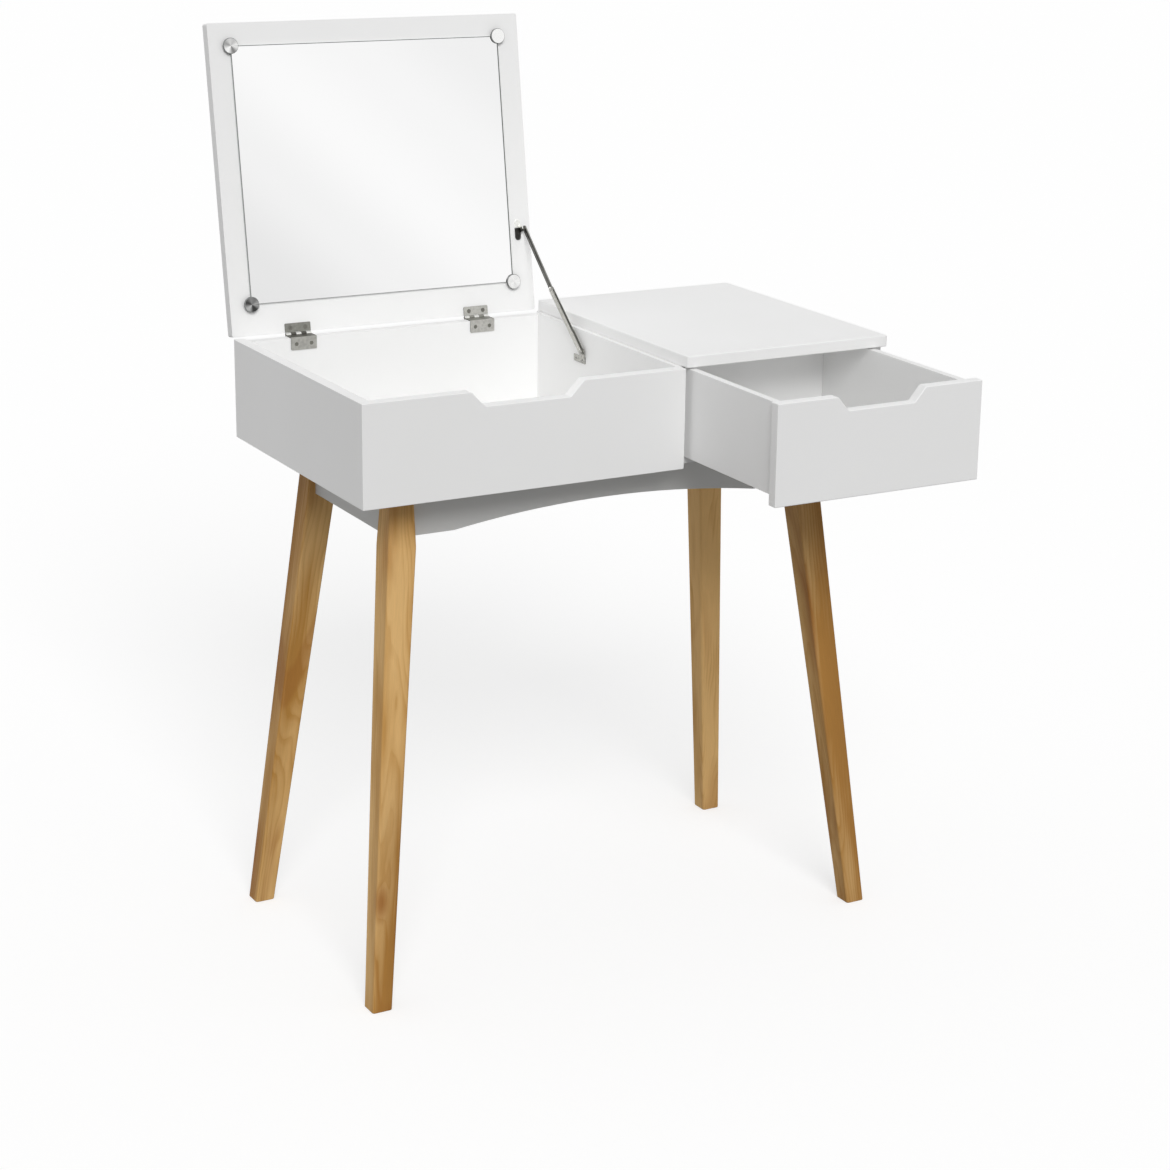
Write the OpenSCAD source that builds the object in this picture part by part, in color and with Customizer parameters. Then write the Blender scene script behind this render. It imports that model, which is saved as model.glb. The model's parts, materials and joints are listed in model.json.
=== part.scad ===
// Flip top vanity table: a shallow case on splayed tapered legs, with a mirror lid held open by
// a folding stay, and a drawer beside the open compartment.
// Frame: +Z up, floor at z = 0, front towards -Y. The origin lies on the floor under the middle
// of the outline with the lid open and the drawer pulled out. Inside the modules x runs from the
// left side of the case, y from its front and z from the floor.

/* [Case] */
// Width over the side panels
case_w = 750; // [680:10:1000]
// Depth from the front panel's face to the back panel's face
case_d = 400; // [360:10:480]
// Height of the side, front and back panels
case_h = 130; // [125:5:180]
// Height of the case's lower edge above the floor
leg_h = 655; // [560:5:700]
// Thickness of the side, front and back panels
panel_t = 15; // [12:1:18]
// Thickness of the divider between compartment and drawer
divider_t = 12; // [9:1:16]
// Thickness of the bottom board
bottom_t = 9; // [6:1:15]
// Height of the bottom board's underside above the panels' lower edges
bottom_raise = 3; // [0:0.5:6]
// Width of the fixed front panel beyond the lid's right edge
front_lip = 0.5; // [0:0.5:3]

/* [Finger notches] */
// Width of the compartment notch at the panel's top edge
notch_top_w = 155; // [100:5:200]
// Width of the compartment notch at its bottom
notch_bottom_w = 116.5; // [70:0.5:150]
// Depth of the compartment notch
notch_depth = 19.5; // [14:0.5:30]
// Distance of the compartment notch's middle from the case's left side
notch_x = 220.5; // [150:0.5:280]
// Radius at the corners of both notches
notch_r = 5; // [2:0.5:7]
// Width of the drawer notch at the drawer front's top edge
drawer_notch_top_w = 130; // [100:5:180]
// Width of the drawer notch at its bottom
drawer_notch_bottom_w = 98; // [70:0.5:120]
// Depth of the drawer notch
drawer_notch_depth = 18.5; // [14:0.5:30]

/* [Lid and top board] */
// Thickness of the lid and of the top board
top_t = 15; // [12:1:22]
// Gap between the lid and the top board
lid_gap = 2; // [1:0.5:4]
// Radius at the corners of the lid and of the top board
top_r = 3; // [1:0.5:8]
// Opening angle of the lid, from shut to its stop
lid_open = 98.65; // [92:0.05:102]
// Height of the shut lid's underside above the panels it lies on
lid_rest = 0.2; // [0.1:0.1:0.5]
// Width of the divider's edge that the lid lies on
lid_seat = 5.5; // [4:0.5:7]

/* [Mirror] */
// Width of the mirror
mirror_w = 382; // [330:1:430]
// Height of the mirror
mirror_h = 330; // [290:1:332]
// Thickness of the mirror
mirror_t = 3; // [2:0.5:4]
// Distance of the mirror's left edge from the lid's left edge
mirror_x = 28.5; // [26:0.5:34]
// Width of the lid's strip beside the mirror, where the stay is fixed
mirror_side_w = 32; // [31:0.5:40]
// Distance of the mirror's lower edge from the lid's hinged edge
mirror_v = 40.8; // [34:0.1:46]
// Diameter of the round caps on the mirror's corners
cap_d = 20.5; // [18:0.5:25]
// Height of a cap's straight rim
cap_rim_h = 1.6; // [0.8:0.1:2.4]
// Height and width of the bevel round a cap's face
cap_bevel = 0.8; // [0.3:0.1:1.5]
// Diameter of the hub under a cap, in the cut corner of the mirror
cap_hub_d = 8; // [6:0.5:9]
// Clearance between a cap's hub and the mirror
cap_fit = 0.3; // [0.1:0.1:0.6]

/* [Hinges] */
// Width of a hinge
hinge_w = 36; // [30:1:45]
// Distance of each hinge's middle from the lid's side edge
hinge_inset = 91; // [60:1:120]
// Thickness of the hinge leaves
leaf_t = 1.2; // [1:0.1:1.6]
// Height of the fixed leaf on the back panel
fixed_leaf_h = 17; // [14:0.5:22]
// Length of the moving leaf on the lid
moving_leaf_l = 12; // [10:0.5:18]
// Radius of the hinge barrel
barrel_r = 2.3; // [2.1:0.1:2.8]
// Distance of the barrel's surface behind the case
barrel_gap = 0.2; // [0.1:0.1:1]
// Radius of the hinge pin
hinge_pin_r = 1.2; // [1:0.1:1.4]
// Gap between two knuckles
knuckle_gap = 0.2; // [0.1:0.1:0.5]
// Gap between the two leaves of a shut hinge
leaf_gap = 0.4; // [0.2:0.1:0.8]
// Distance of a hinge screw from the leaf's side edge
hinge_screw_inset = 7.5; // [6:0.5:10]

/* [Lid stay] */
// Height of the stay's lid pivot above the lid's hinged edge
stay_lid_v = 111.5; // [100:0.5:125]
// Distance of the lid pivot from the lid's inner face
stay_lid_out = 5.5; // [5.5:0.1:7]
// Distance of the case pivot in front of the hinge axis
stay_case_reach = 149.8; // [140:0.1:160]
// Depth of the case pivot below the panels' top edges
stay_case_drop = 27.4; // [22:0.1:34]
// Length of the lower arm between its pivots
lower_arm_l = 108.9; // [100:0.1:115]
// Distance of the elbow from the line between the two outer pivots
elbow_off = 2.5; // [1:0.1:5]
// Width of the arms
arm_w = 7.6; // [6.8:0.1:7.8]
// Height of the lower arm's flanges at its foot, next to the case pivot
foot_arm_w = 8.2; // [7.8:0.1:8.6]
// Length of the lower arm's foot
foot_arm_l = 34; // [28:1:45]
// Thickness of the upper arm, a flat bar
arm_t = 1.8; // [1.5:0.1:2]
// Thickness of the sheet of the lower arm, a folded channel
channel_sheet = 0.9; // [0.8:0.05:1]
// Clearance of the bar on each side inside the channel
channel_fit = 0.2; // [0.15:0.05:0.3]
// Length of the channel's open end beyond an eye, where it has no web
channel_open = 1; // [0.8:0.1:2]
// Depth of the groove pressed along the bar
groove_t = 0.6; // [0.4:0.1:0.8]
// Width of the groove pressed along the bar
groove_w = 3; // [2:0.2:4]
// Radius of the eyes at the arms' ends
eye_r = 4; // [3.8:0.1:4]
// Radius of the stay's rivets
rivet_r = 1.9; // [1.5:0.1:2.2]
// Radius of the rivet heads
rivet_head_r = 3.2; // [2.8:0.1:3.6]
// Height of the rivet heads
rivet_head_h = 1.1; // [0.8:0.1:1.3]
// Gap between neighbouring layers of the stay
stay_gap = 0.3; // [0.2:0.1:0.5]
// Distance of the lower arm from the divider
stay_off = 3; // [2.8:0.1:4]
// Thickness of the two stay brackets
bracket_t = 1.2; // [1:0.1:1.5]
// Length of the bracket plate on the lid
lid_plate_l = 28; // [27:0.5:31]
// Width of the bracket plate on the lid
lid_plate_w = 8.5; // [8:0.1:9.5]
// Distance between the two screws of the lid bracket
lid_plate_screws = 18; // [17.5:0.1:19]
// Distance of the plate's middle from the middle of the arms
lid_plate_off = 8.5; // [8:0.1:9.5]
// Width of the lug on the lid bracket
lug_w = 11; // [9:0.5:11]
// Length of the bracket plate on the divider
case_plate_l = 31; // [28:1:36]
// Height of the bracket plate on the divider
case_plate_h = 9; // [8:0.5:11]
// Depth of the case bracket's plate below the case pivot
case_plate_drop = 8; // [6.5:0.5:10]
// Distance between the two screws of the case bracket
case_plate_screws = 18; // [16:0.5:20]

/* [Small screws] */
// Diameter of the countersunk screws
screw_d = 3; // [2.5:0.1:3.5]
// Diameter of their heads
screw_head_d = 5.4; // [4.8:0.1:6]
// Length of their shanks under the head
screw_l = 10; // [7:0.5:11]
// Depth of the cross in a screw head
cross_t = 0.7; // [0.4:0.1:0.9]
// Width of the cross in a screw head
cross_w = 0.8; // [0.5:0.1:1]

/* [Drawer] */
// How far the drawer is pulled out from shut
drawer_out = 206.7; // [120:0.1:240]
// Thickness of the drawer front
drawer_front_t = 15; // [12:1:18]
// Thickness of the drawer's sides and back
drawer_side_t = 10; // [8:1:14]
// Length of the drawer's sides behind its front
drawer_l = 310.6; // [270:0.1:320]
// Gap between the fixed front panel and the drawer front
drawer_front_gap = 3.5; // [2:0.5:5]
// Distance of the drawer front's outer end inside the case's right side
drawer_reveal = 0.5; // [0:0.5:2]
// Gap between the drawer front and the top board
drawer_head_gap = 1.5; // [1:0.5:3]
// Gap between the drawer's sides and the top board
drawer_top_gap = 2; // [1.5:0.5:4]
// Clearance on each side of the drawer in its bay
drawer_side_gap = 1.2; // [0.6:0.1:2]
// Clearance under the drawer's sides
drawer_run_gap = 0.3; // [0.2:0.1:0.5]
// Gap between the shut drawer front and the case
drawer_shut_gap = 0.3; // [0.2:0.1:0.5]
// Thickness of the drawer's bottom
drawer_bottom_t = 3; // [3:0.5:5]
// Height of the drawer's bottom above the lower edge of its sides
drawer_bottom_up = 8; // [6:0.5:12]
// Depth of the groove that holds the drawer's bottom
drawer_groove = 5; // [3:0.5:6]
// Clearance of the drawer's bottom in its groove
drawer_groove_fit = 0.2; // [0.1:0.1:0.4]

/* [Legs] */
// Width of a leg's square foot
foot_w = 27; // [22:1:34]
// Distance of the foot's outer corner inside the case's side
foot_x = 1.6; // [-10:0.1:20]
// Distance of the foot's outer corner inside the case's front or back
foot_y = -5.8; // [-10:0.1:20]
// Width of a leg at its knee, where the slope of its inner faces ends
knee_w = 38; // [32:0.5:46]
// Distance of the knee's outer corner inside the case's side
knee_x = 58.6; // [50:0.1:75]
// Distance of the knee's outer corner inside the case's front or back
knee_y = 56.7; // [50:0.1:70]
// Depth of the knee below the case
knee_drop = 72; // [70:1:90]

/* [Aprons] */
// Height of the aprons below the bottom board
apron_h = 65; // [50:1:68]
// Thickness of the aprons
apron_t = 15; // [12:1:17]
// Step from a leg's inner face out to the front or rear apron's inner face
front_apron_step = 7.5; // [5:0.5:10]
// Step from a leg's inner face out to a side apron's inner face
side_apron_step = 12; // [8:0.5:14]
// Width of the arch in the front apron
arch_w = 440; // [300:5:460]
// Rise of the arch in the front apron
arch_rise = 17; // [8:1:30]

/* [Leg fastening] */
// Thickness of the corner plates behind the legs
plate_t = 2; // [1.5:0.5:3]
// Height of the corner plates
plate_h = 44; // [30:1:46]
// Length of a corner plate's flange on each apron
plate_flange = 15; // [13:1:20]
// Gap between a leg's inner corner and its plate, along the bolt
plate_gap = 9; // [6:1:14]
// Diameter of the leg bolts
bolt_d = 6; // [5:1:8]
// Length of a leg bolt inside the leg
bolt_in = 24; // [18:1:28]
// Length of a leg bolt beyond its nut
bolt_end = 3; // [2:1:6]
// Width of the nuts across their flats
nut_w = 10; // [10:1:13]
// Height of the nuts
nut_h = 5; // [4:1:7]
// Diameter of the corner plates' screws
plate_screw_d = 3.5; // [3:0.1:4]
// Diameter of the heads of the corner plates' screws
plate_screw_head_d = 7; // [6:0.5:8]
// Height of the heads of the corner plates' screws
plate_screw_head_h = 2; // [1.5:0.5:3]
// Length of the corner plates' screws in the aprons
plate_screw_l = 10; // [8:1:10]

/* [Fits] */
// Radial clearance of a pin or rivet in its bore
pin_fit = 0.05; // [0.02:0.01:0.1]
// Radial clearance of a screw or bolt in its hole
screw_fit = 0.1; // [0.05:0.05:0.2]

/* [Hidden] */

$fn = 48;
arc_steps = 8;          // straight steps along each round of a notch
eps = 0.01;            // overlap of a cut with the face it opens
paint = "#f2f2f2";     // white painted board
pine = "#c98a4b";      // varnished pine
steel = "#a09a90";     // satin hinge and stay steel
dark_steel = "#4a4a4c";
zinc = "#b8b8b8";

case_top = leg_h + case_h;                       // top edges of the panels
board_z = leg_h + bottom_raise;                  // underside of the bottom board
floor_z = board_z + bottom_t;                    // inside floor of the case
lid_w = mirror_x + mirror_w + mirror_side_w;
divider_x = lid_w - lid_seat;                    // left face of the divider
front_panel_w = lid_w + front_lip;

// Hinge axis: behind the case, halfway between the two leaves of the shut hinge
moving_leaf_z = case_top + lid_rest - leaf_t;            // underside of the shut moving leaf
fixed_leaf_z = moving_leaf_z - leaf_gap - leaf_t;        // underside of the fixed leaf's top flange
axis_y = case_d + barrel_gap + barrel_r;
axis_z = moving_leaf_z - leaf_gap / 2;
hinge_xs = [hinge_inset - hinge_w / 2, lid_w - hinge_inset - hinge_w / 2];
knuckles = 5;
knuckle_w = hinge_w / knuckles;
leaf_end_y = case_d - barrel_gap;                // where a leaf ends between its own knuckles
moving_screw_y = case_d - moving_leaf_l / 2;

// A point of the shut lid, as [y, z], turned to the open position
function opened(p) = [
    axis_y + (p[0] - axis_y) * cos(lid_open) + (p[1] - axis_z) * sin(lid_open),
    axis_z - (p[0] - axis_y) * sin(lid_open) + (p[1] - axis_z) * cos(lid_open)
];

// Middle of the outline from the pulled drawer front to the open lid's top edge
drawer_face_y = -drawer_shut_gap - drawer_out;
lid_back_y = opened([0, case_top + lid_rest + top_t])[0];
middle_y = (drawer_face_y + lid_back_y) / 2;

// Stay: lid pivot U, case pivot L and elbow E, as [y, z] with the lid open
lid_pivot_shut = [case_d - stay_lid_v, case_top + lid_rest - stay_lid_out];
pivot_u = opened(lid_pivot_shut);
pivot_l = [axis_y - stay_case_reach, case_top - stay_case_drop];
stay_span = norm(pivot_u - pivot_l);
stay_dir = (pivot_u - pivot_l) / stay_span;
stay_normal = [stay_dir[1], -stay_dir[0]];       // towards the back and down
elbow_along = sqrt(lower_arm_l * lower_arm_l - elbow_off * elbow_off);
pivot_e = pivot_l + elbow_along * stay_dir + elbow_off * stay_normal;
upper_arm_l = norm(pivot_u - pivot_e);
upper_arm_angle = atan2(pivot_e[1] - pivot_u[1], pivot_e[0] - pivot_u[0]);
lower_arm_angle = atan2(pivot_e[1] - pivot_l[1], pivot_e[0] - pivot_l[0]);

// Layers of the stay by their left faces: the bar turns inside the channel, and the lug stands at
// the right edge of the lid bracket's plate
channel_t = arm_t + 2 * (channel_fit + channel_sheet);
lower_arm_x = divider_x - stay_off - channel_t;
upper_arm_x = lower_arm_x + channel_sheet + channel_fit;
tab_x = divider_x - stay_off + stay_gap;
lid_plate_mid_x = upper_arm_x + arm_t / 2 - lid_plate_off;
lug_x = lid_plate_mid_x + lid_plate_w / 2 - bracket_t;
lid_plate_mid_v = stay_lid_v - bracket_t;

// Legs: outer faces run straight from the foot to the bottom board
knee_z = leg_h - knee_drop;
leg_in_x = knee_x + knee_w;
leg_in_y = knee_y + knee_w;
apron_z = board_z - apron_h;
front_apron_y = leg_in_y - front_apron_step;     // inner face of the front apron
side_apron_x = leg_in_x - side_apron_step;       // inner face of the left apron
arch_r = (arch_w * arch_w / 4 + arch_rise * arch_rise) / (2 * arch_rise);

// Corner plates: a diagonal web square to the bolt through the leg's inner corner
web_sum = leg_in_x + leg_in_y + plate_gap * sqrt(2);       // x + y on the web's leg side
web_far_sum = web_sum + plate_t * sqrt(2);                 // x + y on the web's far side
plate_z = board_z - apron_h / 2 + (arch_rise - plate_h) / 2 - arch_rise / 4;
bolt_z = plate_z + plate_h / 2;

// Drawer, shut
drawer_x = [front_panel_w + drawer_front_gap, case_w - drawer_reveal];
bay_x = [divider_x + divider_t, case_w - panel_t];
box_x = [bay_x[0] + drawer_side_gap, bay_x[1] - drawer_side_gap];
drawer_y = panel_t - drawer_shut_gap;            // back face of the drawer front
drawer_z = [floor_z + drawer_run_gap, case_top - drawer_top_gap];

// A box between two corners
module block(a, b) { translate(a) cube(b - a); }

// A flat shape drawn in x and z, standing upright from y0 to y1
module upright(y0, y1) {
    translate([0, y1, 0]) rotate([90, 0, 0]) linear_extrude(y1 - y0) children();
}

// A flat shape drawn in y and z, from x0 to x1
module sideways(x0, x1) {
    translate([x0, 0, 0]) rotate([90, 0, 90]) linear_extrude(x1 - x0) children();
}

// A rectangle with its low corner at the origin and round corners
module round_rect(w, h, r) {
    translate([r, 0]) square([w - 2 * r, h]);
    translate([0, r]) square([w, h - 2 * r]);
    for (x = [r, w - r], y = [r, h - r]) translate([x, y]) circle(r);
}

// A strip with round ends, from the origin to [l, 0]
module strip(l, w) {
    translate([0, -w / 2]) square([l, w]);
    for (x = [0, l]) translate([x, 0]) circle(w / 2);
}

// Points along an arc round c, from angle a0 to angle a1
function arc(c, r, a0, a1) = [
    for (i = [0 : arc_steps]) c + r * [cos(a0 + (a1 - a0) * i / arc_steps),
                                       sin(a0 + (a1 - a0) * i / arc_steps)]
];

// Outline of a finger notch below a top edge at y = 0, round at its four corners
module notch(top_w, bottom_w, depth, r) {
    slope = atan2(depth, (top_w - bottom_w) / 2);
    tangent = r * tan(slope / 2);
    lip = [top_w / 2 + tangent, -r];             // centre of the round at the top edge
    root = [bottom_w / 2 - tangent, r - depth];  // centre of the round at the bottom
    right = concat([[lip[0], r]], arc(lip, r, 90, 90 + slope), arc(root, r, slope - 90, -90));
    left = [for (i = [len(right) - 1 : -1 : 0]) [-right[i][0], right[i][1]]];
    polygon(concat(right, left));
}

// The four corners of the table: a shape made for the front left corner, mirrored
module at_corner(right, rear) {
    translate([right ? case_w : 0, rear ? case_d : 0, 0])
        scale([right ? -1 : 1, rear ? -1 : 1, 1]) children();
}
module at_corners() {
    for (right = [false, true], rear = [false, true]) at_corner(right, rear) children();
}

// Everything is drawn from the case's corner and set down on the origin
module table() { translate([-case_w / 2, -middle_y, 0]) children(); }

// Parts of the lid are drawn shut and turned open about the hinge axis
module lid_pose() {
    translate([0, axis_y, axis_z]) rotate([-lid_open, 0, 0]) translate([0, -axis_y, -axis_z])
        children();
}

// Parts on the lid's inner face: x across, y up from the hinged edge, z out of the face
module lid_face() {
    lid_pose() translate([0, case_d, case_top + lid_rest]) rotate([180, 0, 0]) children();
}

module drawer_pose() { translate([0, -drawer_out, 0]) children(); }

// A countersunk screw along -Z with the top of its head at z = 0
module screw(head_t) {
    difference() {
        union() {
            translate([0, 0, -head_t])
                cylinder(h = head_t, r1 = screw_d / 2, r2 = screw_head_d / 2);
            translate([0, 0, -head_t - screw_l]) cylinder(h = screw_l + eps, r = screw_d / 2);
        }
        for (a = [0, 90]) rotate([0, 0, a])
            translate([-screw_d / 2, -cross_w / 2, -cross_t]) cube([screw_d, cross_w, cross_t + eps]);
    }
}

// The hole for that screw through a plate whose top is at z = 0
module sunk_hole(t) {
    translate([0, 0, -t - eps]) cylinder(h = t + 2 * eps, r = screw_d / 2 + screw_fit);
    translate([0, 0, -t])
        cylinder(h = t + eps, r1 = screw_d / 2 + screw_fit, r2 = screw_head_d / 2 + screw_fit);
}

// The hole for its shank in a panel whose face is at z = 0
module pilot_hole() {
    translate([0, 0, -screw_l - screw_fit])
        cylinder(h = screw_l + screw_fit + eps, r = screw_d / 2 + screw_fit);
}

// ---- Case ----

module left_side_panel() {
    color(paint) table() block([0, panel_t, leg_h], [panel_t, case_d, case_top]);
}

module right_side_panel() {
    color(paint) table() block([case_w - panel_t, panel_t, leg_h], [case_w, case_d, case_top]);
}

// Each hinge screw's place on the fixed leaf: x and the z of its axis
function fixed_screw_xs(x0) = [x0 + hinge_screw_inset, x0 + hinge_w - hinge_screw_inset];
fixed_screw_z = fixed_leaf_z - (fixed_leaf_h - leaf_t) / 2;

module back_panel() {
    color(paint) table() difference() {
        block([panel_t, case_d - panel_t, leg_h], [case_w - panel_t, case_d, case_top]);
        // Lower edge under the lid, which leaves room for the hinge leaves
        block([panel_t - eps, case_d - panel_t - eps, fixed_leaf_z],
              [front_panel_w, case_d + eps, case_top + eps]);
        for (x0 = hinge_xs, x = fixed_screw_xs(x0))
            translate([x, case_d - panel_t, fixed_screw_z]) rotate([90, 0, 0]) pilot_hole();
    }
}

module divider_panel() {
    color(paint) table() difference() {
        block([divider_x, panel_t, floor_z], [divider_x + divider_t, case_d - panel_t, case_top]);
        for (p = case_screw_places)
            translate([divider_x, p[0], p[1]]) rotate([0, -90, 0]) pilot_hole();
    }
}

module bottom_board() {
    color(paint) table()
        block([panel_t, panel_t, board_z], [case_w - panel_t, case_d - panel_t, floor_z]);
}

module front_panel() {
    color(paint) table() upright(0, panel_t) difference() {
        translate([0, leg_h]) square([front_panel_w, case_h]);
        translate([notch_x, case_top]) notch(notch_top_w, notch_bottom_w, notch_depth, notch_r);
    }
}

module top_board() {
    x0 = lid_w + lid_gap;
    color(paint) table() translate([x0, 0, case_top])
        linear_extrude(top_t) round_rect(case_w - x0, case_d, top_r);
}

// ---- Legs and aprons ----

// Side view of a leg with its outer foot corner at f and its outer knee corner at k
module leg_side(f, k) {
    top = k + (k - f) * (board_z - knee_z) / knee_z;
    polygon([
        [f, 0], [f + foot_w, 0], [k + knee_w, knee_z], [k + knee_w, board_z], [top, board_z]
    ]);
}

// The bolt's axis: level, through the leg's inner corner, pointing into the table
module at_bolt() {
    translate([leg_in_x, leg_in_y, bolt_z]) rotate([0, 0, 45]) rotate([0, 90, 0]) children();
}

module leg() {
    difference() {
        intersection() {
            upright(foot_y - eps, leg_in_y + eps) leg_side(foot_x, knee_x);
            sideways(foot_x - eps, leg_in_x + eps) leg_side(foot_y, knee_y);
        }
        at_bolt() translate([0, 0, -bolt_in - screw_fit])
            cylinder(h = bolt_in + bolt_d, r = bolt_d / 2 + screw_fit);
    }
}

module front_left_leg() { color(pine) table() at_corner(false, false) leg(); }
module front_right_leg() { color(pine) table() at_corner(true, false) leg(); }
module rear_left_leg() { color(pine) table() at_corner(false, true) leg(); }
module rear_right_leg() { color(pine) table() at_corner(true, true) leg(); }

// Screw places on a corner plate's two flanges, at the middle of each flange
flange_on_front = [web_far_sum - front_apron_y, web_far_sum - front_apron_y + plate_flange];
flange_on_side = [web_far_sum - side_apron_x, web_far_sum - side_apron_x + plate_flange];
front_flange_screw_x = (flange_on_front[0] + flange_on_front[1]) / 2;
side_flange_screw_y = (flange_on_side[0] + flange_on_side[1]) / 2;

// Moves a screw, drawn along -Z, to its place in a flange
module at_plate_screws() {
    translate([front_flange_screw_x, front_apron_y + plate_t, bolt_z])
        rotate([-90, 0, 0]) children();
    translate([side_apron_x + plate_t, side_flange_screw_y, bolt_z])
        rotate([0, 90, 0]) children();
}

module apron_screw_holes() {
    at_corners() at_plate_screws() translate([0, 0, -plate_t - plate_screw_l - screw_fit])
        cylinder(h = plate_screw_l + plate_t, r = plate_screw_d / 2 + screw_fit);
}

module front_apron() {
    color(paint) table() difference() {
        upright(front_apron_y - apron_t, front_apron_y) difference() {
            translate([leg_in_x, apron_z]) square([case_w - 2 * leg_in_x, apron_h]);
            translate([case_w / 2, apron_z + arch_rise - arch_r]) circle(arch_r, $fn = 360);
        }
        apron_screw_holes();
    }
}

module rear_apron() {
    color(paint) table() difference() {
        block([leg_in_x, case_d - front_apron_y, apron_z],
              [case_w - leg_in_x, case_d - front_apron_y + apron_t, board_z]);
        apron_screw_holes();
    }
}

module side_apron() {
    difference() {
        block([side_apron_x - apron_t, leg_in_y, apron_z],
              [side_apron_x, case_d - leg_in_y, board_z]);
        apron_screw_holes();
    }
}
module left_apron() { color(paint) table() side_apron(); }
module right_apron() { color(paint) table() at_corner(true, false) side_apron(); }

module leg_corner_plates() {
    x0 = side_apron_x;
    y0 = front_apron_y;
    color(zinc) table() at_corners() difference() {
        translate([0, 0, plate_z]) linear_extrude(plate_h) polygon([
            [flange_on_front[1], y0], [web_sum - y0, y0], [x0, web_sum - x0],
            [x0, flange_on_side[1]], [x0 + plate_t, flange_on_side[1]],
            [x0 + plate_t, web_far_sum - x0 - plate_t], [web_far_sum - y0 - plate_t, y0 + plate_t],
            [flange_on_front[1], y0 + plate_t]
        ]);
        at_bolt() cylinder(h = plate_gap + 2 * plate_t, r = bolt_d / 2 + screw_fit);
        at_plate_screws() translate([0, 0, -plate_t - eps])
            cylinder(h = plate_t + 2 * eps, r = plate_screw_d / 2 + screw_fit);
    }
}

module corner_plate_screws() {
    color(zinc) table() at_corners() at_plate_screws() {
        cylinder(h = plate_screw_head_h, r = plate_screw_head_d / 2);
        translate([0, 0, -plate_t - plate_screw_l])
            cylinder(h = plate_t + plate_screw_l + eps, r = plate_screw_d / 2);
    }
}

module leg_bolts() {
    color(zinc) table() at_corners() at_bolt() translate([0, 0, -bolt_in])
        cylinder(h = bolt_in + plate_gap + plate_t + nut_h + bolt_end, r = bolt_d / 2);
}

module leg_nuts() {
    color(zinc) table() at_corners() at_bolt() translate([0, 0, plate_gap + plate_t]) difference() {
        cylinder(h = nut_h, r = nut_w / 2 / cos(30), $fn = 6);
        translate([0, 0, -eps]) cylinder(h = nut_h + 2 * eps, r = bolt_d / 2 + screw_fit);
    }
}

// ---- Hinges ----

// Barrel pieces at the knuckles whose numbers are listed, with the root of their leaf
module barrel(x0, places, root_z) {
    for (i = places) {
        a = x0 + i * knuckle_w + knuckle_gap / 2;
        b = x0 + (i + 1) * knuckle_w - knuckle_gap / 2;
        translate([a, axis_y, axis_z]) rotate([0, 90, 0]) cylinder(h = b - a, r = barrel_r);
        block([a, leaf_end_y - eps, root_z], [b, axis_y, root_z + leaf_t]);
    }
}

module pin_bore(x0) {
    translate([x0 - eps, axis_y, axis_z]) rotate([0, 90, 0])
        cylinder(h = hinge_w + 2 * eps, r = hinge_pin_r + pin_fit);
}

// Fixed leaf: bent over the back panel's top edge, screwed to its inner face
module fixed_leaf(x0) {
    y0 = case_d - panel_t - leaf_t;
    difference() {
        union() {
            block([x0, y0, fixed_leaf_z], [x0 + hinge_w, leaf_end_y, fixed_leaf_z + leaf_t]);
            translate([x0, 0, fixed_leaf_z + leaf_t - fixed_leaf_h])
                upright(y0, y0 + leaf_t) {
                    round_rect(hinge_w, fixed_leaf_h - leaf_t, leaf_t);
                    translate([0, fixed_leaf_h / 2]) square([hinge_w, fixed_leaf_h / 2]);
                }
            barrel(x0, [0, 2, 4], fixed_leaf_z);
        }
        pin_bore(x0);
        for (x = fixed_screw_xs(x0)) translate([x, y0, fixed_screw_z]) rotate([90, 0, 0])
            sunk_hole(leaf_t);
    }
}

// Moving leaf: flat on the lid's inner face
module moving_leaf(x0) {
    lid_pose() difference() {
        union() {
            translate([x0, case_d - moving_leaf_l, moving_leaf_z]) linear_extrude(leaf_t) {
                round_rect(hinge_w, moving_leaf_l / 2 + leaf_t, leaf_t);
                translate([0, moving_leaf_l / 2])
                    square([hinge_w, leaf_end_y - case_d + moving_leaf_l / 2]);
            }
            barrel(x0, [1, 3], moving_leaf_z);
        }
        pin_bore(x0);
        for (x = fixed_screw_xs(x0)) translate([x, moving_screw_y, moving_leaf_z])
            rotate([180, 0, 0]) sunk_hole(leaf_t);
    }
}

module left_hinge_fixed_leaf() { color(steel) table() fixed_leaf(hinge_xs[0]); }
module right_hinge_fixed_leaf() { color(steel) table() fixed_leaf(hinge_xs[1]); }
module left_hinge_moving_leaf() { color(steel) table() moving_leaf(hinge_xs[0]); }
module right_hinge_moving_leaf() { color(steel) table() moving_leaf(hinge_xs[1]); }

module hinge_pins() {
    color(zinc) table() for (x0 = hinge_xs) translate([x0, axis_y, axis_z]) rotate([0, 90, 0])
        cylinder(h = hinge_w, r = hinge_pin_r);
}

module hinge_case_screws() {
    color(zinc) table() for (x0 = hinge_xs, x = fixed_screw_xs(x0))
        translate([x, case_d - panel_t - leaf_t, fixed_screw_z]) rotate([90, 0, 0]) screw(leaf_t);
}

module hinge_lid_screws() {
    color(zinc) table() lid_pose() for (x0 = hinge_xs, x = fixed_screw_xs(x0))
        translate([x, moving_screw_y, moving_leaf_z]) rotate([180, 0, 0]) screw(leaf_t);
}

// ---- Lid and mirror ----

cap_places = [for (x = [0, mirror_w], v = [0, mirror_h]) [mirror_x + x, mirror_v + v]];
lid_screw_places = [for (s = [-1, 1])
    [lid_plate_mid_x, lid_plate_mid_v + s * lid_plate_screws / 2]];
stud_r = screw_d / 2;

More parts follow.
